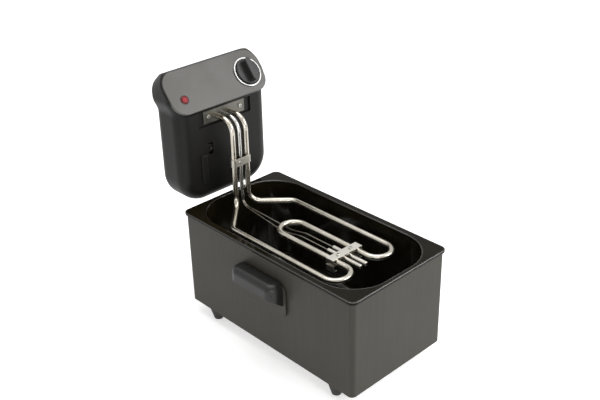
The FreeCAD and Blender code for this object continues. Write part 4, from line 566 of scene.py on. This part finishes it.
def recesses(piece, body, heads):
    """Cross recesses of all screws on one body: heads are (CAD piece, way the heads face)."""
    spots, ways, sizes = [], [], []
    for name, way in heads:
        axis = [abs(w) for w in way].index(1)
        others = [i for i in range(3) if i != axis]
        for low, high in screw_boxes(name):
            spot = (low + high) / 2
            spot[axis] = high[axis] if way[axis] > 0 else low[axis]
            spots.append(spot)
            ways.append(way)
            sizes.append(CROSS_SHARE * min(high[i] - low[i] for i in others))
    mesh = bpy.data.meshes.new(piece + "_points")
    mesh.from_pydata(spots, [], [])
    mesh.attributes.new("facing", "FLOAT_VECTOR", "POINT")
    mesh.attributes.new("reach", "FLOAT", "POINT")
    for i, (way, size) in enumerate(zip(ways, sizes)):
        mesh.attributes["facing"].data[i].vector = way
        mesh.attributes["reach"].data[i].value = size
    item = bpy.data.objects.new(piece, mesh)
    bpy.context.scene.collection.objects.link(item)
    maker = item.modifiers.new("cross_recesses", "NODES")
    maker.node_group = recess_group
    for socket in recess_group.interface.items_tree:
        if socket.in_out == "INPUT" and socket.name in recess_inputs:
            maker[socket.identifier] = recess_inputs[socket.name]
    done = bpy.data.meshes.new_from_object(item.evaluated_get(bpy.context.evaluated_depsgraph_get()))
    item.modifiers.remove(maker)
    item.data = done
    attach(item, body)


recesses("head_screw_recesses", "control_head", [
    ("bracket_screws", FORWARD), ("leg_strap_screw", FORWARD), ("coil_clamp_screws", UP),
    ("cover_screws", BACKWARD)])
recesses("foot_screw_recesses", "housing", [("foot_screws", DOWN)])

# Floor, light and camera
# A white studio table that stays white to the camera and keeps the shadow, soft lamps, and a lens that
# stands to the front left of the appliance.


TABLE = ("#f2f2f2", "#f6f6f6")
TABLE_HALF, TABLE_TONE_W, TABLE_LIFT = 12.0, 400.0, 0.48
WHITE = (1, 1, 1, 1)
HIGHER = {"operation": "MAXIMUM"}


def white_table():
    # matt laminate: plain white with a barely uneven tone, lifted to white where the camera, a mirror-like
    # surface or a clear one shows it
    finish, tree, place = new_finish("white_table")
    clouds = add(tree, "ShaderNodeTexNoise", Vector=place, Scale=per_mm(TABLE_TONE_W), Detail=2,
                 Roughness=GRIT)
    share = add(tree, "ShaderNodeMapRange", Value=clouds, From_Min=0.3, From_Max=0.8)
    tone = add(tree, "ShaderNodeMix", COLOURS, Factor=share, A=linear(TABLE[0]), B=linear(TABLE[1]))
    path = add(tree, "ShaderNodeLightPath").outputs
    seen = add(tree, "ShaderNodeMath", HIGHER, Value=path["Is Camera Ray"],
               Value_001=path["Is Glossy Ray"])
    seen = add(tree, "ShaderNodeMath", HIGHER, Value=seen, Value_001=path["Is Transmission Ray"])
    lift = add(tree, "ShaderNodeMapRange", Value=seen, To_Min=0.0, To_Max=TABLE_LIFT)
    shader = add(tree, "ShaderNodeBsdfPrincipled", Base_Color=tone, Roughness=0.85, Specular_IOR_Level=0.1,
                 Emission_Color=WHITE, Emission_Strength=lift)
    add(tree, "ShaderNodeOutputMaterial", Surface=shader)
    return finish


floor_mesh = bpy.data.meshes.new("floor")
corners = [(x * TABLE_HALF, y * TABLE_HALF, 0) for x, y in ((-1, -1), (1, -1), (1, 1), (-1, 1))]
floor_mesh.from_pydata(corners, [], [(0, 1, 2, 3)])
floor_mesh.materials.append(white_table())
floor = bpy.data.objects.new("floor", floor_mesh)
bpy.context.scene.collection.objects.link(floor)

FILL, BACKDROP = 0.5, 1.0
world = bpy.data.worlds.new("studio")
bpy.context.scene.world = world
world.use_nodes = True
sky = world.node_tree
sky.nodes.clear()
rays = add(sky, "ShaderNodeLightPath").outputs
seen = add(sky, "ShaderNodeMath", HIGHER, Value=rays["Is Camera Ray"],
           Value_001=rays["Is Transmission Ray"])
seen = add(sky, "ShaderNodeMath", HIGHER, Value=seen, Value_001=rays["Is Glossy Ray"])
level = add(sky, "ShaderNodeMapRange", Value=seen, To_Min=FILL, To_Max=BACKDROP)
backdrop = add(sky, "ShaderNodeBackground", Color=WHITE, Strength=level)
add(sky, "ShaderNodeOutputWorld", Surface=backdrop)


def softbox(name, spot, aim, size, watts):
    lamp = bpy.data.lights.new(name, "AREA")
    lamp.shape = "RECTANGLE"
    lamp.size, lamp.size_y = size
    lamp.energy = watts
    box = bpy.data.objects.new(name, lamp)
    box.location = spot
    box.rotation_euler = (Vector(aim) - Vector(spot)).to_track_quat("-Z", "Y").to_euler()
    bpy.context.scene.collection.objects.link(box)


softbox("front_lamp", spot=(1.1, -1.4, 1.3), aim=(0, -0.1, 0.15), size=(1.2, 1.0), watts=25)
softbox("left_lamp", spot=(-1.0, -1.2, 0.4), aim=(-0.05, -0.15, 0.06), size=(0.7, 0.5), watts=5.5)
softbox("top_lamp", spot=(0.1, 0.2, 2.0), aim=(0, 0, 0.1), size=(1.6, 1.6), watts=24)

SENSOR_W, FOCAL_PX, PICTURE_W = 36.0, 922.4, 600
camera_spot = Vector((-0.7595, -0.8269, 0.805))
to_right = Vector((0.72208, -0.69147, -0.02186))
to_top = Vector((0.34064, 0.32786, 0.88118))
to_back = Vector((-0.60214, -0.64372, 0.47228))
camera = bpy.data.objects.new("camera", bpy.data.cameras.new("camera"))
camera.data.sensor_width = SENSOR_W
camera.data.lens = SENSOR_W * FOCAL_PX / PICTURE_W
turn = Matrix((to_right, to_top, to_back)).transposed().to_4x4()
camera.matrix_world = Matrix.Translation(camera_spot) @ turn
bpy.context.scene.collection.objects.link(camera)
bpy.context.scene.camera = camera
bpy.context.scene.view_settings.view_transform = "Standard"
